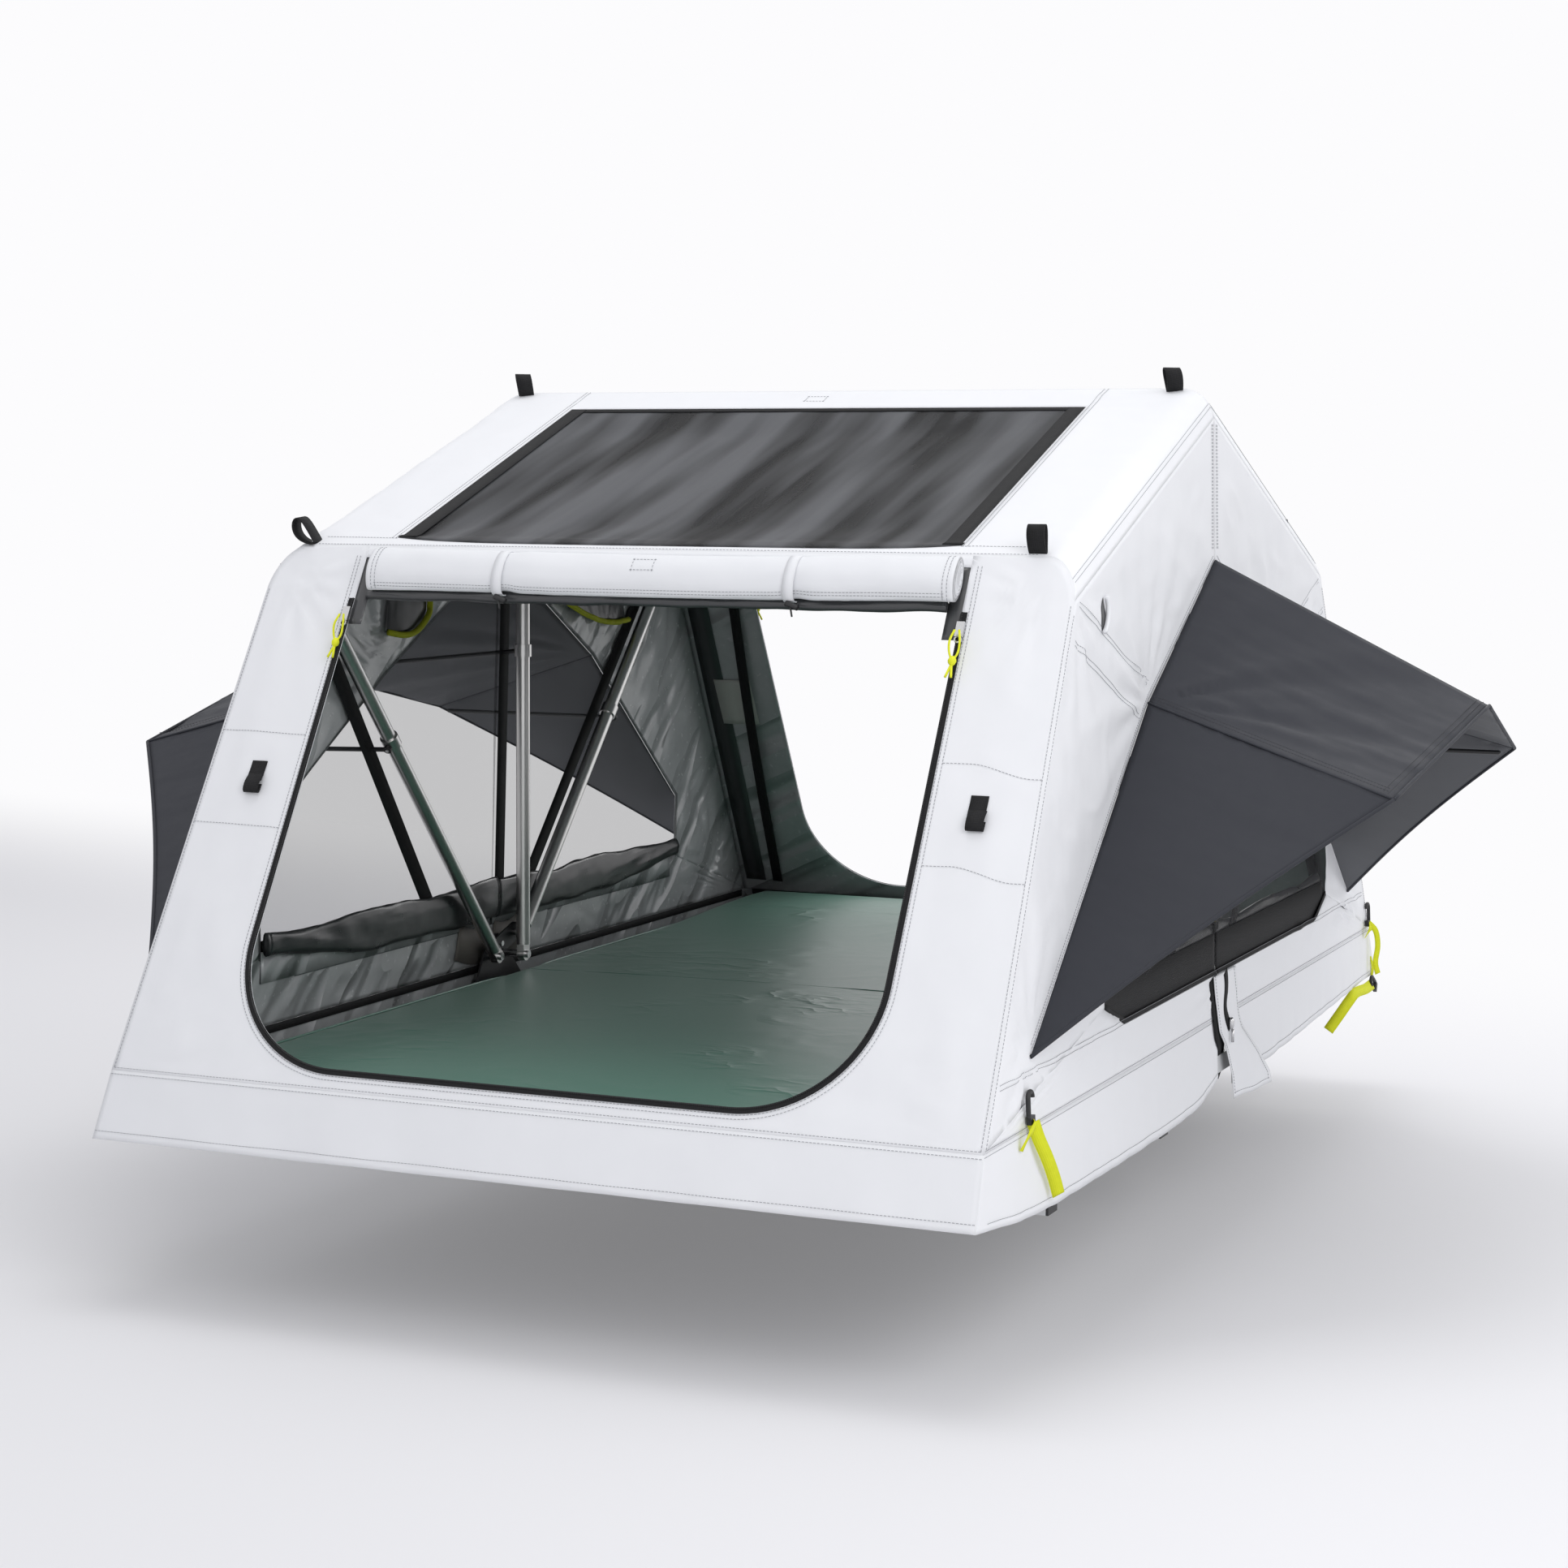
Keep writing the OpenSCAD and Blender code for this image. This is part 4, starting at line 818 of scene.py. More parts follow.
# How far a side hem hangs below the end hem: (share of the way from the fold line, millimetres)
FRONT_HEM = ((0, 4), (0.02, 10), (0.05, 20), (0.09, 29), (0.14, 35), (0.25, 38), (0.5, 36), (0.75, 31),
             (0.88, 22), (0.98, 8), (1.04, 0))
REAR_HEM = ((0, 32), (0.25, 28), (0.5, 20), (0.75, 9), (0.95, 1), (1.04, 0))


def table(pts, q):
    """A value read off a row of (place, value) pairs."""
    for a, b in zip(pts, pts[1:]):
        if q <= b[0]:
            return mix(a[1], b[1], clamp((q - a[0]) / (b[0] - a[0])))
    return pts[-1][1]


def hem_drop(y, sy):
    """The same in metres, at a distance from the fold line."""
    return 0.001 * table(FRONT_HEM if sy > 0 else REAR_HEM, y / SEAM_Y)


def skirt_wave(run, k, seed):
    """Waves of the skirt, from none at its seam to full at its hem."""
    return k * k * (0.0028 * noise.noise(Vector((run * 7, seed, 0))) + 0.0016 * sin(run * 31 + seed)
                    + 0.001 * noise.noise(Vector((run * 25, seed, 4))))


def skirt(sy, end):
    """The skirt round one floor half: its end and, up to the fold line, its two sides."""
    downs = steps(0.0, 1, 14)

    def at_end(f, k):
        x = f * (SEAM_X + FLARE_SIDE * k)
        out = skirt_wave(x, k, 2.0 + sy) * (1 - abs(f) ** 12) + 0.0014 * k * (1 - f * f) * sin(x * 9)
        p = Vector((x, -SEAM_Y - FLARE_END * k - out * 0.9, SEAM_Z - SKIRT_H * k + out * 0.4))
        return flipped(p, 1, sy), (x, -k * 0.105)

    parts = [facing(grid_object("end", *grid_of(steps(-1, 1, 150), downs, at_end), [WHITE, COAT]), (0, -sy, 0))]
    for sx, _ in SIDES:
        def at_side(f, k):
            y = -mix(SPLIT if sy > 0 else SPLIT + 0.09 * ease(0.1, 0.6, k), SEAM_Y + FLARE_END * k, f)
            out = abs(skirt_wave(y, k, 5.0 + sx + 3 * sy)) * (1 - f ** 14) * ease(0, 0.02, f)
            p = Vector((SEAM_X + FLARE_SIDE * k + out, y, SEAM_Z - (SKIRT_H + hem_drop(-y, sy)) * k))
            return flipped(p, sx, sy), (y, -k * 0.12)

        side = grid_object("side", *grid_of(steps(0, 1, 130), downs, at_side), [WHITE, COAT])
        parts.append(facing(side, (sx, 0, 0)))
    return sheet_wall(merged(joined(f"{end}_skirt_cloth", parts)))


# ---- awnings ---------------------------------------------------------------

def awning(sx, sy, side, end):
    """A stretched top panel and its slanting end, with slack creases and drawn-in free edges."""
    seed = 1.0 + sx * 5 + sy * 17
    tip, kink, peak = (on_side(*q, 0.0008) for q in (tip_of(sx, sy), KINK, PEAK))
    wide, deep = (kink - peak).length, (BROW - peak).length

    def at_top(f, g):
        run = (f * wide, g * deep)
        crease = slack(run[0] * 1.4, run[1] * 0.9, seed, 0.7, 1.6)
        far, turn = hypot(run[1], wide - run[0]), atan2(run[1], wide - run[0] + 1e-6)
        fan = sin(turn * 17 + seed) + 0.6 * sin(turn * 29 + 2 * seed)
        w = (0.0050 * crease * (0.5 + 0.9 * f) + 0.0034 * fan * exp(-far / 0.5)) \
            * ease(0, 0.15, min(f, 1 - f, g)) - 0.010 * (sin(pi * f) * sin(pi * g))
        p = peak.lerp(kink, f).lerp(BROW.lerp(HORN, f), g)
        return flipped(p + AWNING_N * w, sx, sy), run

    def at_end(f, g):
        a, b = kink.lerp(tip, f), HORN.lerp(tip, f)
        p = a.lerp(b, g)
        run = (f * 0.9, g * (1 - f) * 0.48)
        w = 0.003 * slack(run[0], run[1] * 2, seed + 4, 1.0, 1.0) * ease(0, 0.2, min(g, 1 - g)) * (1 - f) \
            - 0.010 * (sin(pi * g) * sin(pi * f) * (1 - f))
        draw = 0.012 * sin(pi * f) * g * g
        if (a - b).length > 1e-6:
            p = p + AWNING_N * w + (a - b).normalized() * draw
        return flipped(p, sx, sy), run

    parts = []
    for name, at, n in (("top", at_top, 40), ("end", at_end, 30)):
        panel = grid_of(steps(0, 1, 48), steps(0, 1, n), at)
        # The inner face takes the lighter underside finish: painted glow for light through the cloth
        panel = grid_object(name, *panel, [SHADE, AWNING_UNDERSIDE_GLOW], flip=sx * sy < 0)
        parts.append(facing(panel, flipped(AWNING_N, 1, sy)))
    return sheet_wall(merged(joined(f"{end}_{side}_awning_cloth", parts), 0.0004), 0.0009, 1)


# ---- bed -------------------------------------------------------------------

BED_HALF, BED_IN, BED_OUT = 0.632, 0.0003, 1.105
BED_MID, BED_LONG = -(BED_IN + BED_OUT) / 2, (BED_OUT - BED_IN) / 2


def bed_half(sy, end):
    """A foam slab in a loose cover: crowned, with drawn-in sides and fine creases on top."""
    seed = 2.0 if sy > 0 else 8.0

    def corner_in(u, v):
        outer = max(-v, 0.0)
        x = u * BED_HALF * (1 - 0.016 * outer ** 9) * (1 - 0.007 * (1 - v * v) * abs(u) ** 6)
        y = v * BED_LONG * (1 - 0.016 * outer * abs(u) ** 9) * (1 - 0.007 * (1 - u * u) * outer ** 6)
        return x, BED_MID + y

    def top(u, v):
        x, y = corner_in(u, v)
        e = min((1 - abs(u)) * BED_HALF, (1 + v) * BED_LONG)
        z = BED_T * (0.86 + 0.14 * (1 - u * u) * (1 - min(v, 0) ** 2)) - 0.010 * (1 - ease(0, 0.030, e)) - 0.0016
        z += 0.018 * ease(0.2, -0.95, v) * (sy < 0)
        fold = noise.noise(Vector((x * 5 + y * 7, y * 4 - x * 3, seed)))
        fine = noise.noise(Vector((x * 16 - y * 9, y * 15 + x * 5, seed + 4)))
        fan = noise.noise(Vector((x * 2.2, y * 2.2, seed + 9)))
        crease = (1 - abs(fine)) ** 8 * ease(0.08, 0.42, fan) + 0.6 * (1 - abs(fold)) ** 10 * ease(-0.2, 0.2, fan)
        z += ease(0, 0.06, e) * (0.0016 * crease - 0.0016)
        return Vector((x, y, FLOOR_Z + z))

    spread = [copysign(1 - (1 - abs(q)) ** 1.25, q) for q in steps(-1, 1, 110)]
    rows = [[flipped(top(u, v), 1, sy) for v in spread] for u in spread]
    cuts = [[(p.x, p.y) for p in r] for r in rows]
    lid = grid_object("lid", rows, cuts, [BED], flip=sy < 0)
    rim = [(u, -1.0) for u in spread] + [(1.0, v) for v in spread[1:]] \
        + [(u, 1.0) for u in reversed(spread[:-1])] + [(-1.0, v) for v in reversed(spread[1:-1])]
    rows, cuts = [], []
    for i, (u, v) in enumerate(rim):
        a = top(u, v)
        x, y = corner_in(u, v)
        inward = Vector((-x, BED_MID - y, 0)).normalized()
        row, cut = [], []
        for k in steps(0, 1, 8):
            bulge = -0.004 * sin(pi * k) + 0.006 * k ** 4 + 0.0012 * noise.noise(Vector((x * 20, y * 20, k * 3)))
            p = Vector((x, y, mix(a.z, FLOOR_Z + 0.0004, k))) + inward * (bulge + 0.004)
            row.append(flipped(a.lerp(p, ease(0, 0.2, k)), 1, sy))
            cut.append((i * 0.02, k * BED_T))
        rows.append(row)
        cuts.append(cut)
    rows.append(rows[0])
    cuts.append(cuts[0])
    wall = grid_object("wall", rows, cuts, [BED], flip=sy > 0)
    foot = [r[-1] for r in rows[:-1]]
    face = tuple(range(len(foot)))[::(1 if sy < 0 else -1)]
    under = new_object("under", foot, [face], [BED], [(p.x, p.y) for p in foot])
    o = merged(joined(f"{end}_bed_cushion", [lid, wall, under]), 0.0003)
    bm = bmesh.new()
    bm.from_mesh(o.data)
    bmesh.ops.recalc_face_normals(bm, faces=bm.faces)
    bm.to_mesh(o.data)
    bm.free()
    return o


# ---- rolls -----------------------------------------------------------------

ROLL_V, ROLL_OUT, ROLL_T = WALL_L - 0.020 - 0.039 + 0.008, 0.0195, 0.0185
ROLL_X, ROLL_HALF, TIE_X = 0.0115, 0.4855, 0.242


def roll_at(x, a, sy, out=0.0):
    """A point of the rolled door flap: along the roll, and round it."""
    seed = 6.0 if sy > 0 else 13.0
    near = sum(exp(-((x - q * TIE_X) / 0.018) ** 2) for q in (-1, 1))
    tight = sum(exp(-(abs(x - q * TIE_X) / 0.09)) for q in (-1, 1))
    sag = 0.004 * cos(pi / 2 * x / ROLL_HALF) ** 2 * (1 - 0.5 * near)
    crease = noise.noise(Vector((x * 5, cos(a) * 1.8, sin(a) * 1.8 + seed)))
    fold = noise.noise(Vector((x * 22, a * 1.8, seed))) * tight
    k = (1 - 0.07 * near) * (1 + 0.05 * crease + 0.04 * fold)
    flat = 1 - 0.12 * max(0, -sin(a)) ** 2
    return wall_at(sy, x + ROLL_X, ROLL_V - sag + (k * 0.0355 + out) * sin(a),
                            ROLL_OUT + (k * ROLL_T * flat + out) * cos(a))


def door_roll(sy, end):
    """The door flap rolled up under the roof edge, pinched by its two ties."""
    around = steps(pi, 3 * pi, 34)[:-1]
    rows, cuts = [], []
    for x in steps(-ROLL_HALF, ROLL_HALF, 200):
        rows.append([roll_at(x, a, sy) for a in around])
        cuts.append([(x, a * 0.03) for a in around])
    for i in (0, -1):
        c = middle(rows[i])
        for s in (0.72, 0.4, 0.05):
            push = Vector((copysign(0.004 * (0.5 if s > 0.5 else -1), c.x), 0, 0))
            ring = [c + (p - c) * s + push for p in rows[i]]
            cut = [(u, v + s) for u, v in cuts[i]]
            at = 0 if i == 0 else len(rows)
            rows.insert(at, ring)
            cuts.insert(at, cut)
    # The roll takes the darker copy of the white cloth: painted shade
    return grid_object(f"{end}_door_roll_cloth", rows, cuts, [ROLLED_WHITE_SHADED], flip=sy < 0, closed=True)


def net_roll(sy, end):
    """The rolled netting of the door, showing as a dark line under the flap."""
    rows, cuts = [], []
    for x in steps(-ROLL_HALF + 0.004, ROLL_HALF - 0.004, 120):
        r = 0.009 + 0.003 * noise.noise(Vector((x * 14, 3.0, sy)))
        v = ROLL_V - 0.036 + 0.004 * noise.noise(Vector((x * 8, 1.0, sy)))
        row = [wall_at(sy, x, v + r * sin(a), 0.002 + r * 0.9 * cos(a))
               for a in steps(0, 2 * pi, 10)[:-1]]
        rows.append(row)
        cuts.append([(x, i * 0.005) for i in range(len(row))])
    rows, cuts = capped(rows, cuts, middle(rows[0]), middle(rows[-1]))
    parts = [grid_object("net", rows, cuts, [DARK], flip=sy < 0, closed=True)]
    for s in (-1, 1):
        strip = [wall_at(sy, s * (DOOR_W - 0.010), DOOR_HEAD - d, -0.0006)
                 for d in steps(-0.004, 0.118, 12)]
        parts.append(tape_on(strip, front_normal(sy), 0.026, DARK))
    return joined(f"{end}_door_net_roll", parts)


def tie_band(x, sy):
    """A cloth band round the rolled flap, up to the roof edge."""
    w = 0.0085
    rows, cuts = [], []
    for i, a in enumerate(steps(-pi / 2, 1.5 * pi, 40)):
        v, out = ROLL_V - 0.004 + 0.0362 * sin(a), ROLL_OUT + (ROLL_T + 0.0008) * cos(a)
        rows.append([wall_at(sy, x + d, v, out) for d in (-w, 0, w)])
        cuts.append([(d, i * 0.005) for d in (-w, 0, w)])
    return sheet_wall(grid_object("band", rows, cuts, [ROLLED_WHITE_SHADED], flip=sy > 0), 0.0012, 0)


def tube(name, path, r, mat, sides=8, taper=None):
    """A round cord or bar along points."""
    rows, cuts, run = [], [], 0.0
    n = len(path)
    out = None
    for i, c in enumerate(path):
        d = (path[min(i + 1, n - 1)] - path[max(i - 1, 0)]).normalized()
        if out is None:
            out = d.orthogonal().normalized()
        out = (out - d * out.dot(d)).normalized()
        over = d.cross(out)
        if i:
            run += (c - path[i - 1]).length
        k = r * (taper(i / (n - 1)) if taper else 1)
        rows.append([c + (out * cos(t) + over * sin(t)) * k for t in steps(0, 2 * pi, sides)[:-1]])
        cuts.append([(j * 2 * pi * r / sides, run) for j in range(sides)])
    rows, cuts = capped(rows, cuts, path[0], path[-1])
    return merged(grid_object(name, rows, cuts, [mat], closed=True), 1e-6)


def spline(points, n):
    """Smooth points through the given ones."""
    pts = [points[0] * 2 - points[1], *points, points[-1] * 2 - points[-2]]
    out = []
    for i in range(1, len(pts) - 2):
        p0, p1, p2, p3 = pts[i - 1:i + 3]
        for k in range(n):
            t = k / n
            out.append(0.5 * ((2 * p1) + (p2 - p0) * t + (2 * p0 - 5 * p1 + 4 * p2 - p3) * t * t
                              + (3 * p1 - p0 - 3 * p2 + p3) * t ** 3))
    out.append(points[-1])
    return out


# The rolled window flap: its ends along the wall, height of its middle, half height, and how far in it may lie
FLAP_NEAR, FLAP_FAR, FLAP_H, FLAP_HALF, FLAP_SKIN, FLAP_DEEP = 0.0008, 0.766, 0.119, 0.038, -0.0048, -0.0245


def window_roll(sx, sy):
    """A window flap rolled down to the sill between the legs and the netting, thinner towards the door."""
    seed = sx * 3 + sy * 7

    def at(f, a):
        y = -mix(FLAP_NEAR, FLAP_FAR, f)
        droop = 0.003 * cos(radians(y * 900)) + 0.007 * noise.noise(Vector((y * 6, seed, 0)))
        k = 0.92 + 0.13 * noise.noise(Vector((y * 9, seed, 5)))
        thin = mix(1.0, 0.5, ease(0.55, 1.0, f))
        c = noise.noise(Vector((y * 9 + sin(a) * 1.6, cos(a) * 1.6, seed))) \
            + 0.5 * noise.noise(Vector((y * 20 + cos(a) * 2, sin(a) * 2, seed)))
        h = FLAP_H + 0.028 * (1 - thin) + droop * (0.55 + 0.45 * sin(a)) \
            + k * thin * FLAP_HALF * sin(a) * (1 + 0.13 * c)
        out = clamp(-0.0144 + 0.0092 * cos(a) * k * (1 + 0.30 * c), FLAP_DEEP, FLAP_SKIN)
        return side_at(sx, sy, y, h, out), (y, a * 0.03)

    rows, cuts = grid_of(steps(0, 1, 90), steps(1.5 * pi, 3.5 * pi, 22)[:-1], at)
    rows, cuts = capped(rows, cuts, middle(rows[0]), middle(rows[-1]))
    return grid_object("roll", rows, cuts, [FLAP], flip=sx * sy > 0, closed=True)


# ---- stitches and zip teeth, by Geometry Nodes ------------------------------

def along_lines(name, lines, pitch, size, mat, sides):
    """Small bars set end to end along lines: thread stitches or zip teeth."""
    me = bpy.data.meshes.new(name + "_lines")
    verts, edges = [], []
    for line in lines:
        base = len(verts)
        verts += [tuple(p) for p in line]
        edges += [(base + i, base + i + 1) for i in range(len(line) - 1)]
    me.from_pydata(verts, edges, [])
    o = bpy.data.objects.new(name, me)
    bpy.context.scene.collection.objects.link(o)
    tree = bpy.data.node_groups.new(name + "_rows", "GeometryNodeTree")
    face = tree.interface
    face.new_socket("Geometry", in_out="INPUT", socket_type="NodeSocketGeometry")
    face.new_socket("Geometry", in_out="OUTPUT", socket_type="NodeSocketGeometry")
    wanted = []
    for label, value in (("Pitch", pitch), ("Length", size[1]), ("Radius", size[0])):
        s = face.new_socket(label, in_out="INPUT", socket_type="NodeSocketFloat")
        s.default_value = value
        wanted.append((s.identifier, value))
    add = tree.nodes.new
    link = tree.links.new
    gin, gout = add("NodeGroupInput"), add("NodeGroupOutput")
    curve, even = add("GeometryNodeMeshToCurve"), add("GeometryNodeResampleCurve")
    even.mode = "LENGTH"
    bar, tangent = add("GeometryNodeMeshCylinder"), add("GeometryNodeInputTangent")
    turn = add("FunctionNodeAlignEulerToVector")
    bar.inputs["Vertices"].default_value = sides
    turn.axis = "Z"
    put, real = add("GeometryNodeInstanceOnPoints"), add("GeometryNodeRealizeInstances")
    paint = add("GeometryNodeSetMaterial")
    paint.inputs["Material"].default_value = mat
    link(gin.outputs["Geometry"], curve.inputs[0])
    link(curve.outputs[0], even.inputs[0])
    link(gin.outputs["Pitch"], even.inputs["Length"])
    link(gin.outputs["Radius"], bar.inputs["Radius"])
    link(gin.outputs["Length"], bar.inputs["Depth"])
    link(even.outputs[0], put.inputs["Points"])
    link(bar.outputs["Mesh"], put.inputs["Instance"])
    link(tangent.outputs[0], turn.inputs["Vector"])
    link(turn.outputs[0], put.inputs["Rotation"])
    link(put.outputs[0], real.inputs[0])
    link(real.outputs[0], paint.inputs[0])
    link(paint.outputs[0], gout.inputs[0])
    mod = o.modifiers.new("rows", "NODES")
    mod.node_group = tree
    for ident, value in wanted:
        mod[ident] = value
    baked(o)
    if "cut" not in o.data.uv_layers:
        o.data.uv_layers.new(name="cut")
    return o


def seam_lines(sy):
    """The stitched seams of one half, as lines of points on the cloth."""
    lines = []
    lift, sewn = 0.0007, 0.0006

    def put(points):
        lines.append([flipped(p, 1, sy) for p in points])

    def wall(path):
        lines.append([wall_cloth(sy, x, v, lift) for x, v in path])

    def side(sx, path):
        lines.append([side_cloth(sx, sy, y, h, lift) for y, h in path])

    def roll(path):
        lines.append([roll_at(x, a, sy, sewn) for x, a in path])

    def slope(path):
        put([on_roof(x, 0, t, roof_slack(x, t, ROOF_SEED[sy], sy > 0) + lift) for x, t in path])

    def beside(p, q, off):
        """A line along p-q, moved over to its left side."""
        dx, dy = q[0] - p[0], q[1] - p[1]
        k = off / hypot(dx, dy)
        return [(mix(p[0], q[0], t) - dy * k, mix(p[1], q[1], t) + dx * k) for t in steps(0.02, 0.98, 40)]

    c, k = (CORNER.y, CORNER_H), KINK
    for grow in (0.011, 0.017):
        wall(door_outline(grow, DOOR_HEAD))
    wall([(x, 0.004) for x in steps(-SEAM_X + 0.006, SEAM_X - 0.006, 120)])
    slope([(x, 0.005) for x in steps(-0.60, 0.60, 120)])
    for s in (-1, 1):
        wall([(s * (wall_half(v) - 0.004), v) for v in steps(0.006, CORNER_V - 0.01, 90)])
        slope([(s * x, 0.034) for x in steps(SKY_W + 0.004 if sy > 0 else 0.0, 0.60, 30)])
        for v in (0.405, 0.562):
            wall([(s * x, v + 0.02 * (x - 0.52) - 0.022 * (s > 0) * ease(0.56, 0.66, x))
                  for x in steps(0.524, wall_half(v) - 0.006, 26)])
        for d in (0.0, 0.007):
            slope([(s * (SKY_W + 0.005 + d), t) for t in steps(0.036, roof_end(0) - 0.004, 90)])
            put([flipped(shoulder(0.95 + d * 16, t, lift), s, 1)
                 for t in steps(CORNER_T + 0.03, roof_end(-0.03) - 0.002, 90)])
            side(s, [(y, SILL_H - 0.0035 + d) for y in steps(-1.09, -0.004, 100)])
            side(s, [(-0.010 - d, h) for h in steps(PEAK[1] + 0.02, RIDGE_H - 0.012, 30)])
            side(s, beside((c[0] + 0.016, c[1] - 0.006), (k[0] + 0.004, k[1] + 0.026), d))
            side(s, beside((c[0] - 0.012, c[1] - 0.060), (k[0] - 0.046, k[1] - 0.022), d))
            side(s, beside(tip_of(s, sy), KINK, 0.004 + d) + beside(KINK, PEAK, 0.004 + d))
        side(s, [(mix(-SEAM_Y, c[0], t) + 0.0055, mix(0, c[1], t)) for t in steps(0.01, 0.97, 90)])
        side(s, [(y, 0.004) for y in steps(-SEAM_Y + 0.008, -0.004, 110)])
        for d in (0.009, 0.016):
            roll([(s * (ROLL_HALF - d), a) for a in steps(-1.3, 1.3, 30)])
    for a in (-1.15, -0.95):
        roll([(x, a) for x in steps(-ROLL_HALF + 0.016, ROLL_HALF - 0.016, 140)])
    if sy > 0:
        for x in (-0.029, 0.006):
            roll([(x, a) for a in steps(0.02, 0.62, 12)])
            slope([(x - 0.014, t) for t in steps(0.705, 0.728, 12)])
        for a in (0.02, 0.62):
            roll([(x, a) for x in steps(-0.029, 0.006, 12)])
        for t in (0.705, 0.728):
            slope([(x, t) for x in steps(-0.043, -0.008, 12)])
    for q in (0.05, 0.88):
        wide = SEAM_X + FLARE_SIDE * q
        put([Vector((f * wide * 0.995,
                     -SEAM_Y - FLARE_END * q - lift - 0.9 * skirt_wave(f * wide, q, 2.0 + sy)
                     - 0.9 * 0.0014 * q * (1 - f * f) * sin(f * SEAM_X * 9),
                     SEAM_Z - SKIRT_H * q)) for f in steps(-1, 1, 150)])
    for s, _ in SIDES:
        for q in (0.04, 0.90):
            put([Vector((s * (SEAM_X + FLARE_SIDE * q + lift + abs(skirt_wave(-y, q, 5.0 + s + 3 * sy))), -y,
                         SEAM_Z - (SKIRT_H + hem_drop(y, sy)) * q))
                 for y in steps(0.006 if sy > 0 else 0.10 * q, SEAM_Y - 0.004, 120)])
        if sy < 0:
            for a, b in (((0.05, 0.0), (0.05, 0.96)), ((0.90, 0.0), (0.93, 0.96)), ((0.05, 0.96), (0.93, 0.96))):
                lines.append([flipped(flap_at(u, v, sewn), s, 1) for u, v in along(a, b, 40)])
    return lines


def awning_lines(sy):
    """The stitched lines of one half's awnings, beside the outer edge and the fold."""
    lines = []
    kink, peak = (on_side(*q, 0.0016) for q in (KINK, PEAK))
    lift, rise = AWNING_N * 0.0012, Vector((0, 0, 0.001))
    for sx, _ in SIDES:
        for d in (0.012, 0.020):
            brow, fold = (peak - BROW).normalized() * d, (peak - kink).normalized() * d
            lines.append([flipped(BROW.lerp(HORN, t) + brow + lift, sx, sy) for t in steps(0.01, 0.98, 60)])
            lines.append([flipped(kink.lerp(HORN, t) + rise + fold + lift, sx, sy) for t in steps(0.02, 0.97, 60)])
    return lines


# ---- trim ------------------------------------------------------------------

ROOF_N = Vector((0, -sin(ROOF_A), cos(ROOF_A)))


def side_normal(sx):
    return Vector((sx * cos(LEAN), 0, sin(LEAN)))


def front_normal(sy):
    return Vector((0, -sy * sin(WALL_A), cos(WALL_A)))


def tape_on(points, normal, width, mat):
    """A flat tape along points, all on one face."""
    return ribbon(points, [normal] * len(points), width, mat)


FLAP_FRONT = ((0, -0.030), (0.25, -0.018), (0.43, -0.006), (0.57, 0.030), (0.82, 0.066), (1, 0.074))
FLAP_REAR = ((0, 0.110), (0.28, 0.126), (0.48, 0.138), (0.70, 0.200), (0.91, 0.246), (1, 0.250))


def flap_at(u, v, out=0.0):
    """A point of the flap over the split of the skirt: u to the rear, v down."""
    z = mix(0.2135, -0.008, v)
    y = mix(table(FLAP_FRONT, v), table(FLAP_REAR, v), u)
    x = side_x(z) if z > SEAM_Z else SEAM_X + FLARE_SIDE * (SEAM_Z - z) / SKIRT_H
    free = ease(0.25, 1.0, v)
    hang = free * (0.012 - 0.009 * cos(u * 3.4)) + 0.0022 * sin(u * 9 + v * 4) * ease(0.02, 0.3, v)
    crease = 0.0012 * noise.noise(Vector((u * 5, v * 7, 2.0))) * free
    return Vector((x + 0.0040 + hang + crease + out, y, z))


def split_flap(sx):
    """The flap over the split of the skirt."""
    grid = grid_of(steps(0, 1, 30), steps(0, 1, 34),
                   lambda u, v: (flipped(flap_at(u, v), sx, 1), (u * 0.16, v * 0.22)))
    return sheet_wall(grid_object("flap", *grid, [WHITE, COAT]), 0.0012, 1, (sx, 0, 0))


def flap_zip(sx):
    """The short zip on the flap with its slider, and a black strip in the split beside it, painted shadow of the gap
    behind the flap.
    """
    n = Vector((sx, 0, 0))
    path = [flipped(flap_at(mix(0.50, 0.46, t) + 0.03 * sin(t * 7), mix(0.0, 0.44, t), 0.0006), sx, 1)
            for t in steps(0, 1, 20)]
    end = flipped(flap_at(0.48, 0.41, 0.003), sx, 1)
    slider = tube("slider", [end + Vector((0, 0, d)) for d in (0.010, 0.006, -0.004, -0.010)], 0.0045, STEEL, 8,
                  taper=lambda t: 0.7 + 0.6 * sin(pi * t))
    tab = [end + Vector((sx * 0.003, 0.001, -0.010 - d)) for d in (0, 0.010, 0.022)]
    # A black tape set back behind the flap's edge: painted shadow in the gap of the split
    line = [flipped(flap_at(0.0, v), sx, 1) - n * (0.0028 + 0.016 * ease(0.4, 0.8, v)) + Vector((0, 0.004, 0))
            for v in steps(0.01, 0.78, 24)]
    return [tape_on(path, n, 0.022, ZIP), slider, tube("tab", tab, 0.0028, STEEL, 6), tape_on(line, n, 0.044, TAPE)]


def strap(sx, sy, pts, width, face):
    """Webbing along (y, z, out) points beside the skirt, turning a little as it hangs."""
    path = spline([Vector((SEAM_X + 0.003 + o, y, z)) for y, z, o in pts], 8)
    n = len(path)
    normals = [(Vector(face) if face else Vector((1, 0.35 * sin(2.2 * i / n), 0.15))).normalized() for i in range(n)]
    path = [flipped(p, sx, sy) for p in path]
    normals = [flipped(q, sx, sy) for q in normals]
    return ribbon(path, normals, width, LIME, 0.0012)


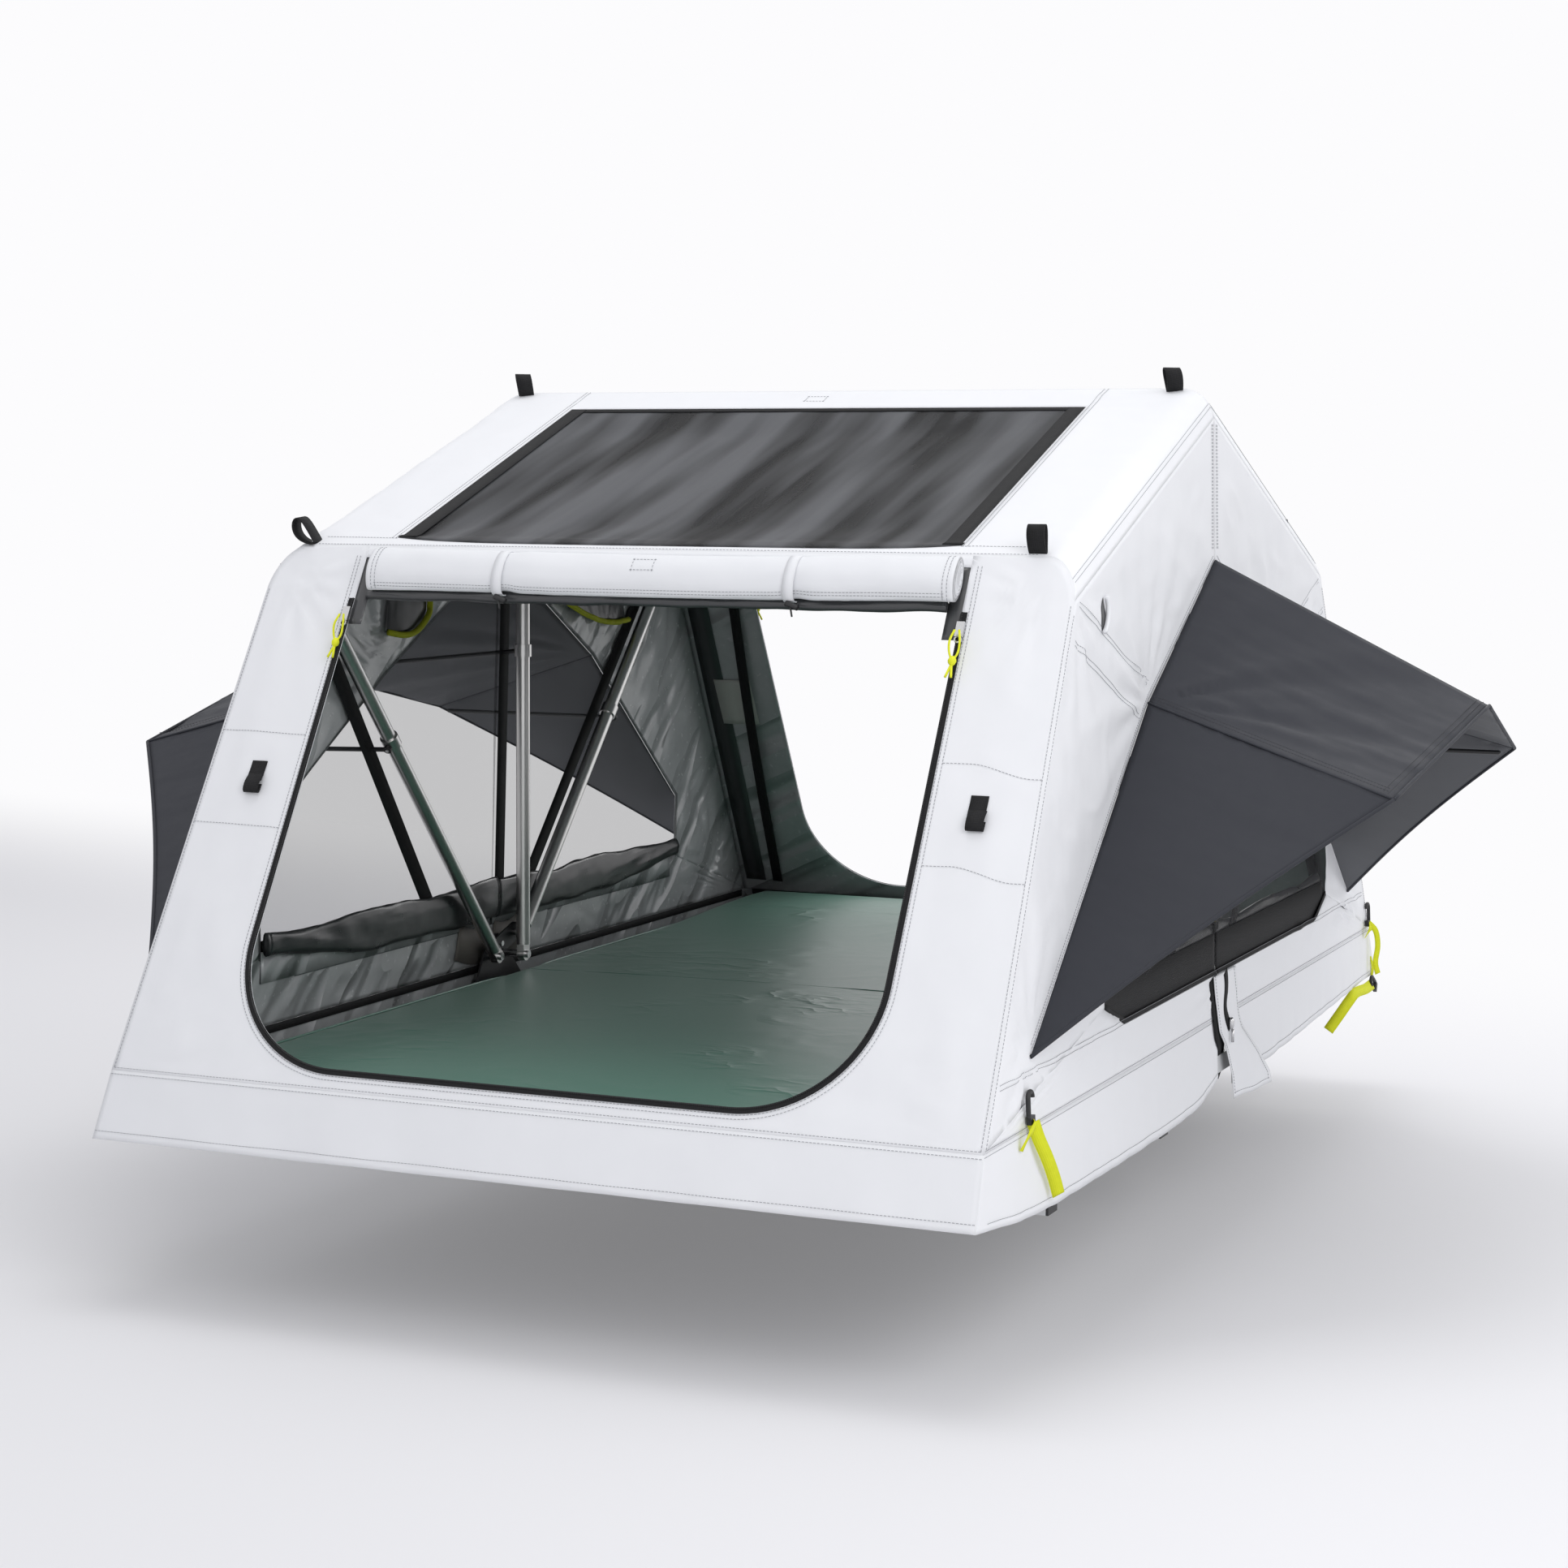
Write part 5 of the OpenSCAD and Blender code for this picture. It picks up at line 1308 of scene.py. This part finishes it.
# Straps of each half: place of the hook, width, way it faces, and (y from the hook, z, out) points
STRAPS = {
    1: ((-0.9805, 0.010, None, ((-0.034, 0.118, 0.001), (-0.026, 0.140, 0.010), (-0.008, 0.150, 0.011),
                                (0.004, 0.152, 0.006))),
        (-0.9805, 0.019, (0.6, -0.8, 0.1), ((0, 0.152, 0.006), (0.012, 0.128, 0.010), (0.038, 0.096, 0.014),
                                            (0.064, 0.066, 0.015), (0.086, 0.034, 0.016)))),
    -1: ((-1.1255, 0.010, None, ((0.016, 0.128, 0.002), (0.018, 0.146, 0.012), (0.002, 0.154, 0.008))),
         (-1.1255, 0.012, (0.7, 0.7, 0.1), ((0, 0.156, 0.004), (-0.014, 0.138, 0.016), (-0.018, 0.108, 0.020),
                                            (-0.010, 0.076, 0.018), (-0.016, 0.052, 0.022))),
         (-1.1685, 0.008, None, ((0, 0.082, 0.001), (0.002, 0.060, 0.006), (0.004, 0.034, 0.004))),
         (-1.1685, 0.021, (0.5, 0.85, 0.25), ((0.010, 0.028, 0.008), (0.090, 0.030, 0.012), (0.165, 0.033, 0.009),
                                              (0.194, 0.020, 0.002), (0.218, 0.000, -0.008),
                                              (0.236, -0.034, -0.028)))),
}


def corner_straps(sy):
    """The lime straps at the corners of one half."""
    return joined("straps", [strap(sx, sy, [(hook + y, z, o) for y, z, o in run], width, face)
                             for sx, _ in SIDES for hook, width, face, run in STRAPS[sy]])


def pull_cord(x, sy):
    """A knotted cord through the zip slider."""
    v0 = DOOR_HEAD - 0.104
    ways = [(0.0035, -0.006, 0.016), (0.0075, -0.024, 0.016), (0.0065, -0.040, 0.012), (0.0, -0.050, 0.011),
            (-0.0065, -0.040, 0.012), (-0.0075, -0.024, 0.017), (-0.0035, -0.006, 0.016)]
    path = [wall_at(sy, x + a, v0 + b, c) for a, b, c in ways]
    path = spline(path, 6)
    loop = tube("loop", path, 0.0017, LIME_CORD, 8)
    knot = [wall_at(sy, x, v0 - d, 0.011) for d in (0.046, 0.049, 0.053, 0.057, 0.060)]
    bead = tube("knot", knot, 0.0058, LIME_CORD, 10, taper=lambda t: 0.45 + 0.65 * sin(pi * t))
    tails = []
    for k in (-0.005, 0.004):
        run = [wall_at(sy, x + k * t, v0 - 0.058 - 0.022 * t, 0.011 + 0.002 * t) for t in steps(0, 1, 4)]
        tails.append(tube("tail", run, 0.0019, LIME_CORD, 7))
    return path, loop, joined("knot", [bead, *tails])


def toggle(x, sy):
    """The toggle and loose end under a door tie."""
    v = ROLL_V - 0.046
    bar = [wall_at(sy, x + d, v - 0.35 * d, 0.020) for d in (-0.004, 0.002, 0.010, 0.016)]
    loose = [wall_at(sy, x + 0.004 + 0.006 * t, v - 0.004 - 0.016 * t, 0.020) for t in steps(0, 1, 4)]
    return [tube("toggle", bar, 0.0045, PLASTIC, 10), tube("loose", loose, 0.0016, PLASTIC, 6)]


POCKETS = {1: ((-0.400, 0.624), (-0.260, 0.659), (-0.260, 0.734), (-0.385, 0.714)),
           -1: ((-0.514, 0.614), (-0.237, 0.661), (-0.237, 0.734), (-0.500, 0.709))}


def pocket(sx, sy):
    """A slack pocket on the inside of the wall, its mouth bound with tape."""
    a, b, c, d = POCKETS[sy]

    def at(u, v):
        y, flat = (mix(mix(a[i], b[i], u), mix(d[i], c[i], u), v) for i in (0, 1))
        h = flat - 0.020 * sin(pi * u) * (1 - v) ** 1.5
        belly = 0.010 * sin(pi * u) ** 0.6 * (1 - v) + 0.0012 * noise.noise(Vector((y * 30, flat * 30, 1.0)))
        back = min(side_slack(y, h, side_seed(sx, sy)), 0) - 0.0060
        return side_at(sx, sy, y, h, back - belly), (y, flat)

    rows, cuts = grid_of(steps(0, 1, 24), steps(0, 1, 12), at)
    bag = sheet_wall(grid_object("bag", rows, cuts, [DARK]), 0.0008, 0, (-sx, 0, 0))
    edge = [r[0] for r in rows] + [rows[-1][v] for v in range(1, 9)]
    return [bag, tube("binding", [p - side_normal(sx) * 0.0068 for p in edge], 0.0055, OLIVE, 8)]


# Feet and heads of the tapes beside the legs, as (y, z)
LEG_LINES = (((-0.216, 0.25), (-0.665, 0.860)), ((0.022, 0.25), (0.022, 1.10)), ((0.104, 0.25), (0.630, 0.860)))


def leg_tapes(sx):
    """Black tapes on the netting behind each hoop leg."""
    out = []
    n = -side_normal(sx)
    for (y0, z0), (y1, z1) in LEG_LINES:
        half = 1 if y1 < 0 else -1
        pts = []
        for t in steps(0, 1, 24):
            y, h = mix(y0, y1, t), (mix(z0, z1, t) - SEAM_Z) / cos(LEAN)
            pts.append(side_at(sx, half, -abs(y), h, -0.0078))
        out.append((half, tape_on(pts, n, 0.034, TAPE)))
    return out


def bent_tape(path, across, width, thick=0.0016):
    """Webbing bent along points in a plane square to its width."""
    normals = []
    for i in range(len(path)):
        d = path[min(i + 1, len(path) - 1)] - path[max(i - 1, 0)]
        normals.append(across.cross(d).normalized())
    return ribbon(path, normals, width, TAPE, thick)


def loop_tape(base, up, across, height, width, belly, lean):
    """A webbing loop: the tape leaves its seam, curls over and comes back."""
    bend = across.cross(up).normalized()
    path = []
    for a in steps(0.0, 2 * pi, 40):
        rise = 0.5 * (1 - cos(a))
        path.append(base + up * (height * rise) + bend * (belly * sin(a) * (0.3 + 0.7 * rise) + lean * rise * rise))
    return bent_tape(path, across, width)


def webbing_loops(sy):
    """Loops on the roof edge and ridge, and a tab on each post of the end wall."""
    out = []
    for sx, _ in SIDES:
        spots = [(0.011, 0.0, 0.040, 0.010)]
        if sy > 0:
            spots.append((roof_end(0) - 0.015, 0.6, 0.036, 0.013))
        for t, turn, tall, belly in spots:
            base = on_roof(sx * 0.600, 0, t, 0.0008)
            if sy > 0 and sx < 0 and t < 0.1:
                o = loop_tape(base - Vector((0.008, 0, 0)), Vector((-0.80, 0, 0.45)).normalized(),
                              Vector((0, 1, 0.1)).normalized(), 0.048, 0.026, 0.017, 0.012)
            else:
                o = loop_tape(base, ROOF_N, Vector((cos(turn), sin(turn), 0)), tall, 0.027, belly, -0.006)
                if sy < 0:
                    for v in o.data.vertices:
                        v.co.y = -v.co.y
                    o.data.flip_normals()
            out.append(o)
        x, v = sx * 0.588, 0.486
        flat = [(v + 0.028, 0.0014), (v + 0.014, 0.0020), (v, 0.0034), (v - 0.006, 0.0038)]
        hung = [(v + 0.004, 0.0050), (v - 0.004, 0.0085), (v - 0.014, 0.0110), (v - 0.024, 0.0100),
                (v - 0.0275, 0.0060), (v - 0.025, 0.0028), (v - 0.012, 0.0016)]
        for run, dx in ((flat, 0.0), (hung, 0.0025)):
            path = [flipped(p, 1, sy) for p in spline([on_front(x + dx, q, o + 0.001) for q, o in run], 6)]
            out.append(bent_tape(path, Vector((-sy, 0, 0)), 0.026))
    return joined("loops", out)


def foot_tapes(sy):
    """Bindings and facings of the window sill, the binding of the wall's foot, and the patch behind each hub; the
    facing's outer face is black, painted shade seen through the netting.
    """
    out = []
    for sx, _ in SIDES:
        n = -side_normal(sx)
        line = [side_at(sx, sy, y, -0.007, -0.0032) for y in steps(-SEAM_Y + 0.02, -0.002, 60)]
        out.append(tape_on(line, n, 0.014, TAPE))
        post, sill = window_low(sx, sy)
        edge = polyline(along(post, sill, 6), along(sill, (-0.001, SILL_H), 60))
        edge = [side_cloth(sx, sy, y, h, 0.0004) for y, h in edge]
        out.append(tape_on(edge, side_normal(sx), 0.009, TAPE))
        # The facing is black on its outer face, painted shade of the dark inside seen through the netting; its inner
        # face is coat
        for depth, face, width, mat in ((-0.0024, -n, 0.070, TAPE), (-0.0036, n, 0.052, COAT)):
            rise = SILL_H - 0.006 + width / 2
            strip = [side_at(sx, sy, y, rise, depth) for y in steps(-0.764, -0.004, 60)]
            out.append(tape_on(strip, face, width, mat))
        patch = [side_at(sx, sy, y, 0.046 + 0.010 * sin(y * 30), -0.0045) for y in steps(-0.125, -0.004, 10)]
        out.append(tape_on(patch, n, 0.064, PATCH))
    n = -front_normal(sy)
    line = [wall_at(sy, x, -0.004, -0.0050) for x in steps(-SEAM_X + 0.02, SEAM_X - 0.02, 60)]
    out.append(tape_on(line, n, 0.014, TAPE))
    return joined("foot", out)


def slit_vent(sx):
    """A small lipped slit near the roof corner; the slit is a dark sheet on the wall, painted shadow of its opening.
    """
    c = (-0.615, (0.832 - SEAM_Z) / cos(LEAN))

    def at(u, t):
        y, h = c[0] + 0.014 * u * 0.4 + 0.010 * (1 - u * u) * t, c[1] + 0.024 * u
        return side_cloth(sx, 1, y, h, 0.0012), (y, h)

    # The slit itself is a dark sheet on the cloth: painted shadow of the vent's opening
    slit = grid_object("slit", *grid_of(steps(-1, 1, 12), (-1, 0, 1), at), [DARK])
    slit = sheet_wall(slit, 0.0006, 0, (sx, 0, 0))
    lip = [side_at(sx, 1, c[0] + 0.0056 * u + 0.012 * (1 - u * u), c[1] + 0.026 * u, 0.004)
           for u in steps(-1, 1, 14)]
    return [slit, tube("lip", lip, 0.0038, WHITE, 8)]


def inner_trim():
    """Tape, patch and strap on the inside of the rear wall."""
    n = -front_normal(-1)
    out = []
    for s in (-1, 1):
        edge = [wall_at(-1, s * (wall_half(v) - 0.036), v, -0.004)
                for v in steps(0.03, CORNER_V - 0.02, 30)]
        out.append(tape_on(edge, n, 0.046, DARK))
        hung = [wall_at(-1, s * mix(0.545, 0.600, t), mix(0.82, 0.03, t), -0.006 - 0.012 * sin(pi * t))
                for t in steps(0, 1, 24)]
        out.append(tape_on(hung, n, 0.022, TAPE))
    patch = [wall_at(-1, -0.598, v, -0.005) for v in steps(0.44, 0.55, 8)]
    out.append(tape_on(patch, n, 0.082, PALE))
    return joined("rear_inner_trim", out)


def sky_border():
    """The dark binding round the skylight."""
    w = 0.032
    head = [on_roof(x, 0, SKY_TOP - 0.005, -0.0016) for x in steps(-SKY_W - 0.002, SKY_W + 0.002, 40)]
    out = [tape_on(head, ROOF_N, 0.016, TAPE)]
    for x in (-SKY_W + w / 2 - 0.003, SKY_W - w / 2 + 0.003):
        edge = [on_roof(x, 0, t, mix(0.0022, -0.0010, ease(0.036, 0.058, t)))
                for t in steps(SKY_LOW - 0.001, SKY_TOP, 40)]
        out.append(tape_on(edge, ROOF_N, w, TAPE))
    return joined("skylight_binding", out)


def awning_hems(sx, sy):
    """The bound free edges of one awning half."""
    tip, kink = on_side(*tip_of(sx, sy), 0.0008), on_side(*KINK, 0.0008)
    low = []
    for f in steps(0, 1, 40):
        a, b = kink.lerp(tip, f), HORN.lerp(tip, f)
        low.append(b + (a - b).normalized() * 0.012 * sin(pi * f) if f < 0.999 else tip)
    brow = [BROW.lerp(HORN, t) for t in steps(0, 1, 20)]
    fold = [kink.lerp(HORN, t) + Vector((0, 0, 0.0004)) for t in steps(0, 1, 24)]
    return [tube("hem", [flipped(p, sx, sy) for p in run], r, SHADE, 8)
            for run, r in ((low, 0.0030), (brow, 0.0030), (fold, 0.0022))]


def bed_piping(sy, end):
    """The bound upper edge of a mattress half."""
    pts = []
    for a in steps(0.76 * pi, 2.24 * pi, 140):
        u, v = cos(a), sin(a)
        k = 1 / (abs(u) ** 14 + abs(v) ** 14) ** (1 / 14)
        pts.append(Vector((u * k * (BED_HALF - 0.006), (BED_MID + v * k * (BED_LONG - 0.006)) * sy,
                           FLOOR_Z + BED_T * 0.84 - 0.006)))
    return tube(f"{end}_bed_piping", pts, 0.0022, BED, 6)


# ---- camera, floor and light -------------------------------------------------

# Where the photograph was taken from: degrees round, up and rolled, place, sensor and lens
CAMERA_TURN = 23.27349, 5.50685, 0.41248
CAMERA_AT = Vector((1.97888, -4.82849, 1.00319))
SENSOR, LENS = 36.0, 69.057


def photo_camera():
    """A camera at the photograph's place, looking the way that it looks."""
    az, el, roll = (radians(a) for a in CAMERA_TURN)
    back = Vector((sin(az) * cos(el), -cos(az) * cos(el), sin(el)))
    right = Vector((cos(az), sin(az), 0))
    up = back.cross(right)
    r2 = right * cos(roll) + up * sin(roll)
    u2 = up * cos(roll) - right * sin(roll)
    m = Matrix((r2, u2, back)).transposed().to_4x4()
    m.translation = CAMERA_AT
    data = bpy.data.cameras.new("photo_camera")
    data.sensor_width, data.lens = SENSOR, LENS
    data.clip_end = 200
    cam = bpy.data.objects.new("photo_camera", data)
    cam.matrix_world = m
    bpy.context.scene.collection.objects.link(cam)
    bpy.context.scene.camera = cam


STAGE_Z, STAGE_HALF = -0.20, 60
PALE_BACK = rgb(0.975, 0.972, 0.985)


def studio():
    """A pale floor that fades into a white background, an even sky and four soft lamps."""
    p = Paint("studio_floor")
    x, y, _ = p.split(p.place())
    far = (y + x * 0.3).most(((x * x + y * y) ** 0.5 - 5.5) * 0.55 + 1.2)
    fade = p.node("ShaderNodeMapRange", dict(interpolation_type="SMOOTHSTEP"),
                  {"Value": far, "From Min": 1.2, "From Max": 3.4, "To Min": 0.16, "To Max": 1.0})
    p.set(Base_Color=rgb(0.82, 0.815, 0.835), Roughness=0.8)
    glow = p.node("ShaderNodeEmission", None, {"Color": PALE_BACK})
    both = p.node("ShaderNodeMixShader", None, {0: fade, 1: Val(p, p.bsdf.outputs[0]), 2: glow})
    p.feed(p.tree.nodes["Material Output"].inputs["Surface"], both)
    s = STAGE_HALF
    floor = new_object("studio_floor", [(-s, -s, STAGE_Z), (s, -s, STAGE_Z), (s, s, STAGE_Z), (-s, s, STAGE_Z)],
                       [(0, 1, 2, 3)], [p.mat])
    world = bpy.data.worlds.new("studio")
    bpy.context.scene.world = world
    w = Paint("studio", world)
    w.tree.nodes.clear()
    camera, through, gloss = (w.node("ShaderNodeLightPath", out=f"Is {ray} Ray")
                              for ray in ("Camera", "Transmission", "Glossy"))
    plain = w.node("ShaderNodeBackground", None, {0: rgb(0.95, 0.96, 1.0), 1: 0.66})
    sky = w.node("ShaderNodeBackground", None, {0: PALE_BACK, 1: 1.0})
    pick = w.node("ShaderNodeMixShader", None, {0: camera.most(through).most(gloss), 1: plain, 2: sky})
    w.feed(w.tree.nodes.new("ShaderNodeOutputWorld").inputs[0], pick)

    def softbox(name, at, aim, size, power):
        data = bpy.data.lights.new(name, "AREA")
        data.shape, data.size, data.size_y, data.energy = "RECTANGLE", size[0], size[1], power
        o = bpy.data.objects.new(name, data)
        o.location = at
        o.rotation_euler = (Vector(aim) - Vector(at)).to_track_quat("-Z", "Y").to_euler()
        o.visible_camera = False
        bpy.context.scene.collection.objects.link(o)

    softbox("top_box", (-0.2, -0.4, 4.6), (0, -0.2, 0.4), (2.6, 2.6), 52)
    softbox("key_box", (2.3, -2.3, 1.9), (0.4, -0.9, 0.5), (1.6, 1.6), 22)
    softbox("side_box", (5.0, 1.2, 2.6), (0.6, 0, 0.5), (3.0, 3.0), 36)
    softbox("rear_box", (0.3, 4.4, 2.4), (0.1, 0.5, 0.2), (3.0, 1.6), 40)
    bpy.context.scene.view_settings.view_transform = "Standard"


# ---- assembling the tent -----------------------------------------------------

photo_camera()
studio()

FINISH = {
    "base_panel": DECK, "fold_panel": DECK, "base_frame": FRAME, "fold_frame": FRAME, "mount_rails": FRAME,
    "rail_caps": PLASTIC, "hub_plates": HUB, "hinge_plates": HUB, "hinge_pins": STEEL, "pivot_bolts": STEEL,
    "front_hoop": TUBE, "mid_hoop": TUBE, "rear_hoop": TUBE, "front_hoop_fittings": TUBE,
    "mid_hoop_fittings": TUBE, "rear_hoop_fittings": TUBE, "strap_hooks_front": PLASTIC,
    "strap_hooks_rear": PLASTIC,
}
for end in ("front", "mid", "rear"):
    for side in ("left", "right"):
        FINISH[f"awning_rod_{end}_{side}"] = ROD
for node, finish in FINISH.items():
    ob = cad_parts[node]
    ob.data.materials.clear()
    ob.data.materials.append(finish)

tapes = {1: [], -1: []}
for sx, side in SIDES:
    for half, o in leg_tapes(sx):
        tapes[half].append(o)
for sy, end, body in HALVES:
    o = mount(end_wall(sy, end), body, "white_cloth", f"{end}_wall", folds=True)
    o = mount(roof_half(sy, end), body, "white_cloth", f"roof_{end}", folds=True)
    o = mount(skirt(sy, end), body, "white_cloth", f"skirt_{end}")
    rolls, pockets, hems = [], [], []
    for sx, side in SIDES:
        o = mount(side_wall(sx, sy, side, end), body, "white_cloth", f"side_wall_{end}_{side}", folds=True)
        o = mount(awning(sx, sy, side, end), body, "dark_cloth", f"awning_{end}_{side}", folds=True)
        o = mount(window_net(sx, sy), body, "mesh", f"window_mesh_{end}", folds=True,
                  name=f"{end}_{side}_window_netting")
        rolls.append(window_roll(sx, sy))
        bag, mouth = pocket(sx, sy)
        bag.name = f"{end}_{side}_pocket"
        mount(bag, body, "dark_cloth", f"side_pockets_{end}", folds=True)
        pockets.append(mouth)
        hems += awning_hems(sx, sy)
        path, cord, knot = pull_cord(sx * SLIDER_X, sy)
        cord.name, knot.name = f"{end}_{side}_pull_cord", f"{end}_{side}_pull_knot"
        mount(knot, body, "yellow_webbing", folds=True)
        mount(cord, body, "yellow_webbing", folds=True)
        run = sum((q - p).length for p, q in zip(path, path[1:]))
        tuple(path[0])
        [tuple(p) for p in path]
    mount(joined(f"{end}_window_rolls", rolls), body, "dark_cloth", f"window_rolls_{end}", folds=True)
    mount(joined(f"{end}_pocket_bindings", pockets), body, "yellow_webbing", folds=True)
    mount(joined(f"{end}_awning_hems", hems), body, "dark_cloth", folds=True)
    mount(joined(f"{end}_leg_tapes", tapes[sy]), body, "black_webbing", folds=True)
    mount(webbing_loops(sy), body, "black_webbing", f"webbing_loops_{end}", folds=True, name=f"{end}_webbing_loops")
    mount(foot_tapes(sy), body, "dark_cloth", folds=True, name=f"{end}_foot_bindings")
    o = mount(bed_half(sy, end), body, "mattress_cover", f"mattress_{end}")
    p = mount(bed_piping(sy, end), body, "mattress_cover")
    for q in (o, p):
        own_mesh(q)
    mount(door_roll(sy, end), body, "white_cloth", f"door_roll_{end}", folds=True)
    mount(net_roll(sy, end), body, "dark_cloth", folds=True)
    bands = [tie_band(x, sy) for x in (-TIE_X, TIE_X)] + toggle(-TIE_X, sy) + toggle(TIE_X, sy)
    mount(joined(f"{end}_door_ties", bands), body, "white_cloth", f"door_ties_{end}", folds=True)
    mount(corner_straps(sy), body, "yellow_webbing", f"corner_straps_{end}", name=f"{end}_corner_straps")
    for part, lines, thread in (("awning", awning_lines(sy), DARK_THREAD), ("seam", seam_lines(sy), THREAD)):
        mount(along_lines(f"{end}_{part}_stitches", lines, STITCH_PITCH, STITCH_SIZE, thread, 5), body,
              "black_webbing", folds=True)
    mount(shaped_as(f"door_zip_{end}", ZIP), body, "black_webbing", f"door_zip_{end}", folds=True)
    mount(shaped_as(f"zip_sliders_{end}", STEEL), body, "black_plastic", f"zip_sliders_{end}", folds=True)
    teeth = [[wall_at(sy, x, v, 0.0022) for x, v in door_outline(0.0015, DOOR_HEAD - 0.075)]]
    mount(along_lines(f"{end}_zip_teeth", teeth, TOOTH_PITCH, TOOTH_SIZE, TEETH, 6), body, "black_plastic",
          folds=True)
o = mount(skylight(), "base", "mesh", "skylight_mesh", folds=True)
mount(sky_border(), "base", "black_webbing", folds=True)
mount(joined("slit_vents", slit_vent(1) + slit_vent(-1)), "base", "white_cloth", folds=True)
mount(inner_trim(), "fold_out", "dark_cloth", folds=True)
for sx, side in SIDES:
    o = mount(split_flap(sx), "fold_out", "white_cloth", "split_flaps", folds=True, name=f"{side}_split_flap")
mount(joined("split_flap_zips_and_shadow_strips", flap_zip(1) + flap_zip(-1)), "fold_out", "black_webbing", folds=True)
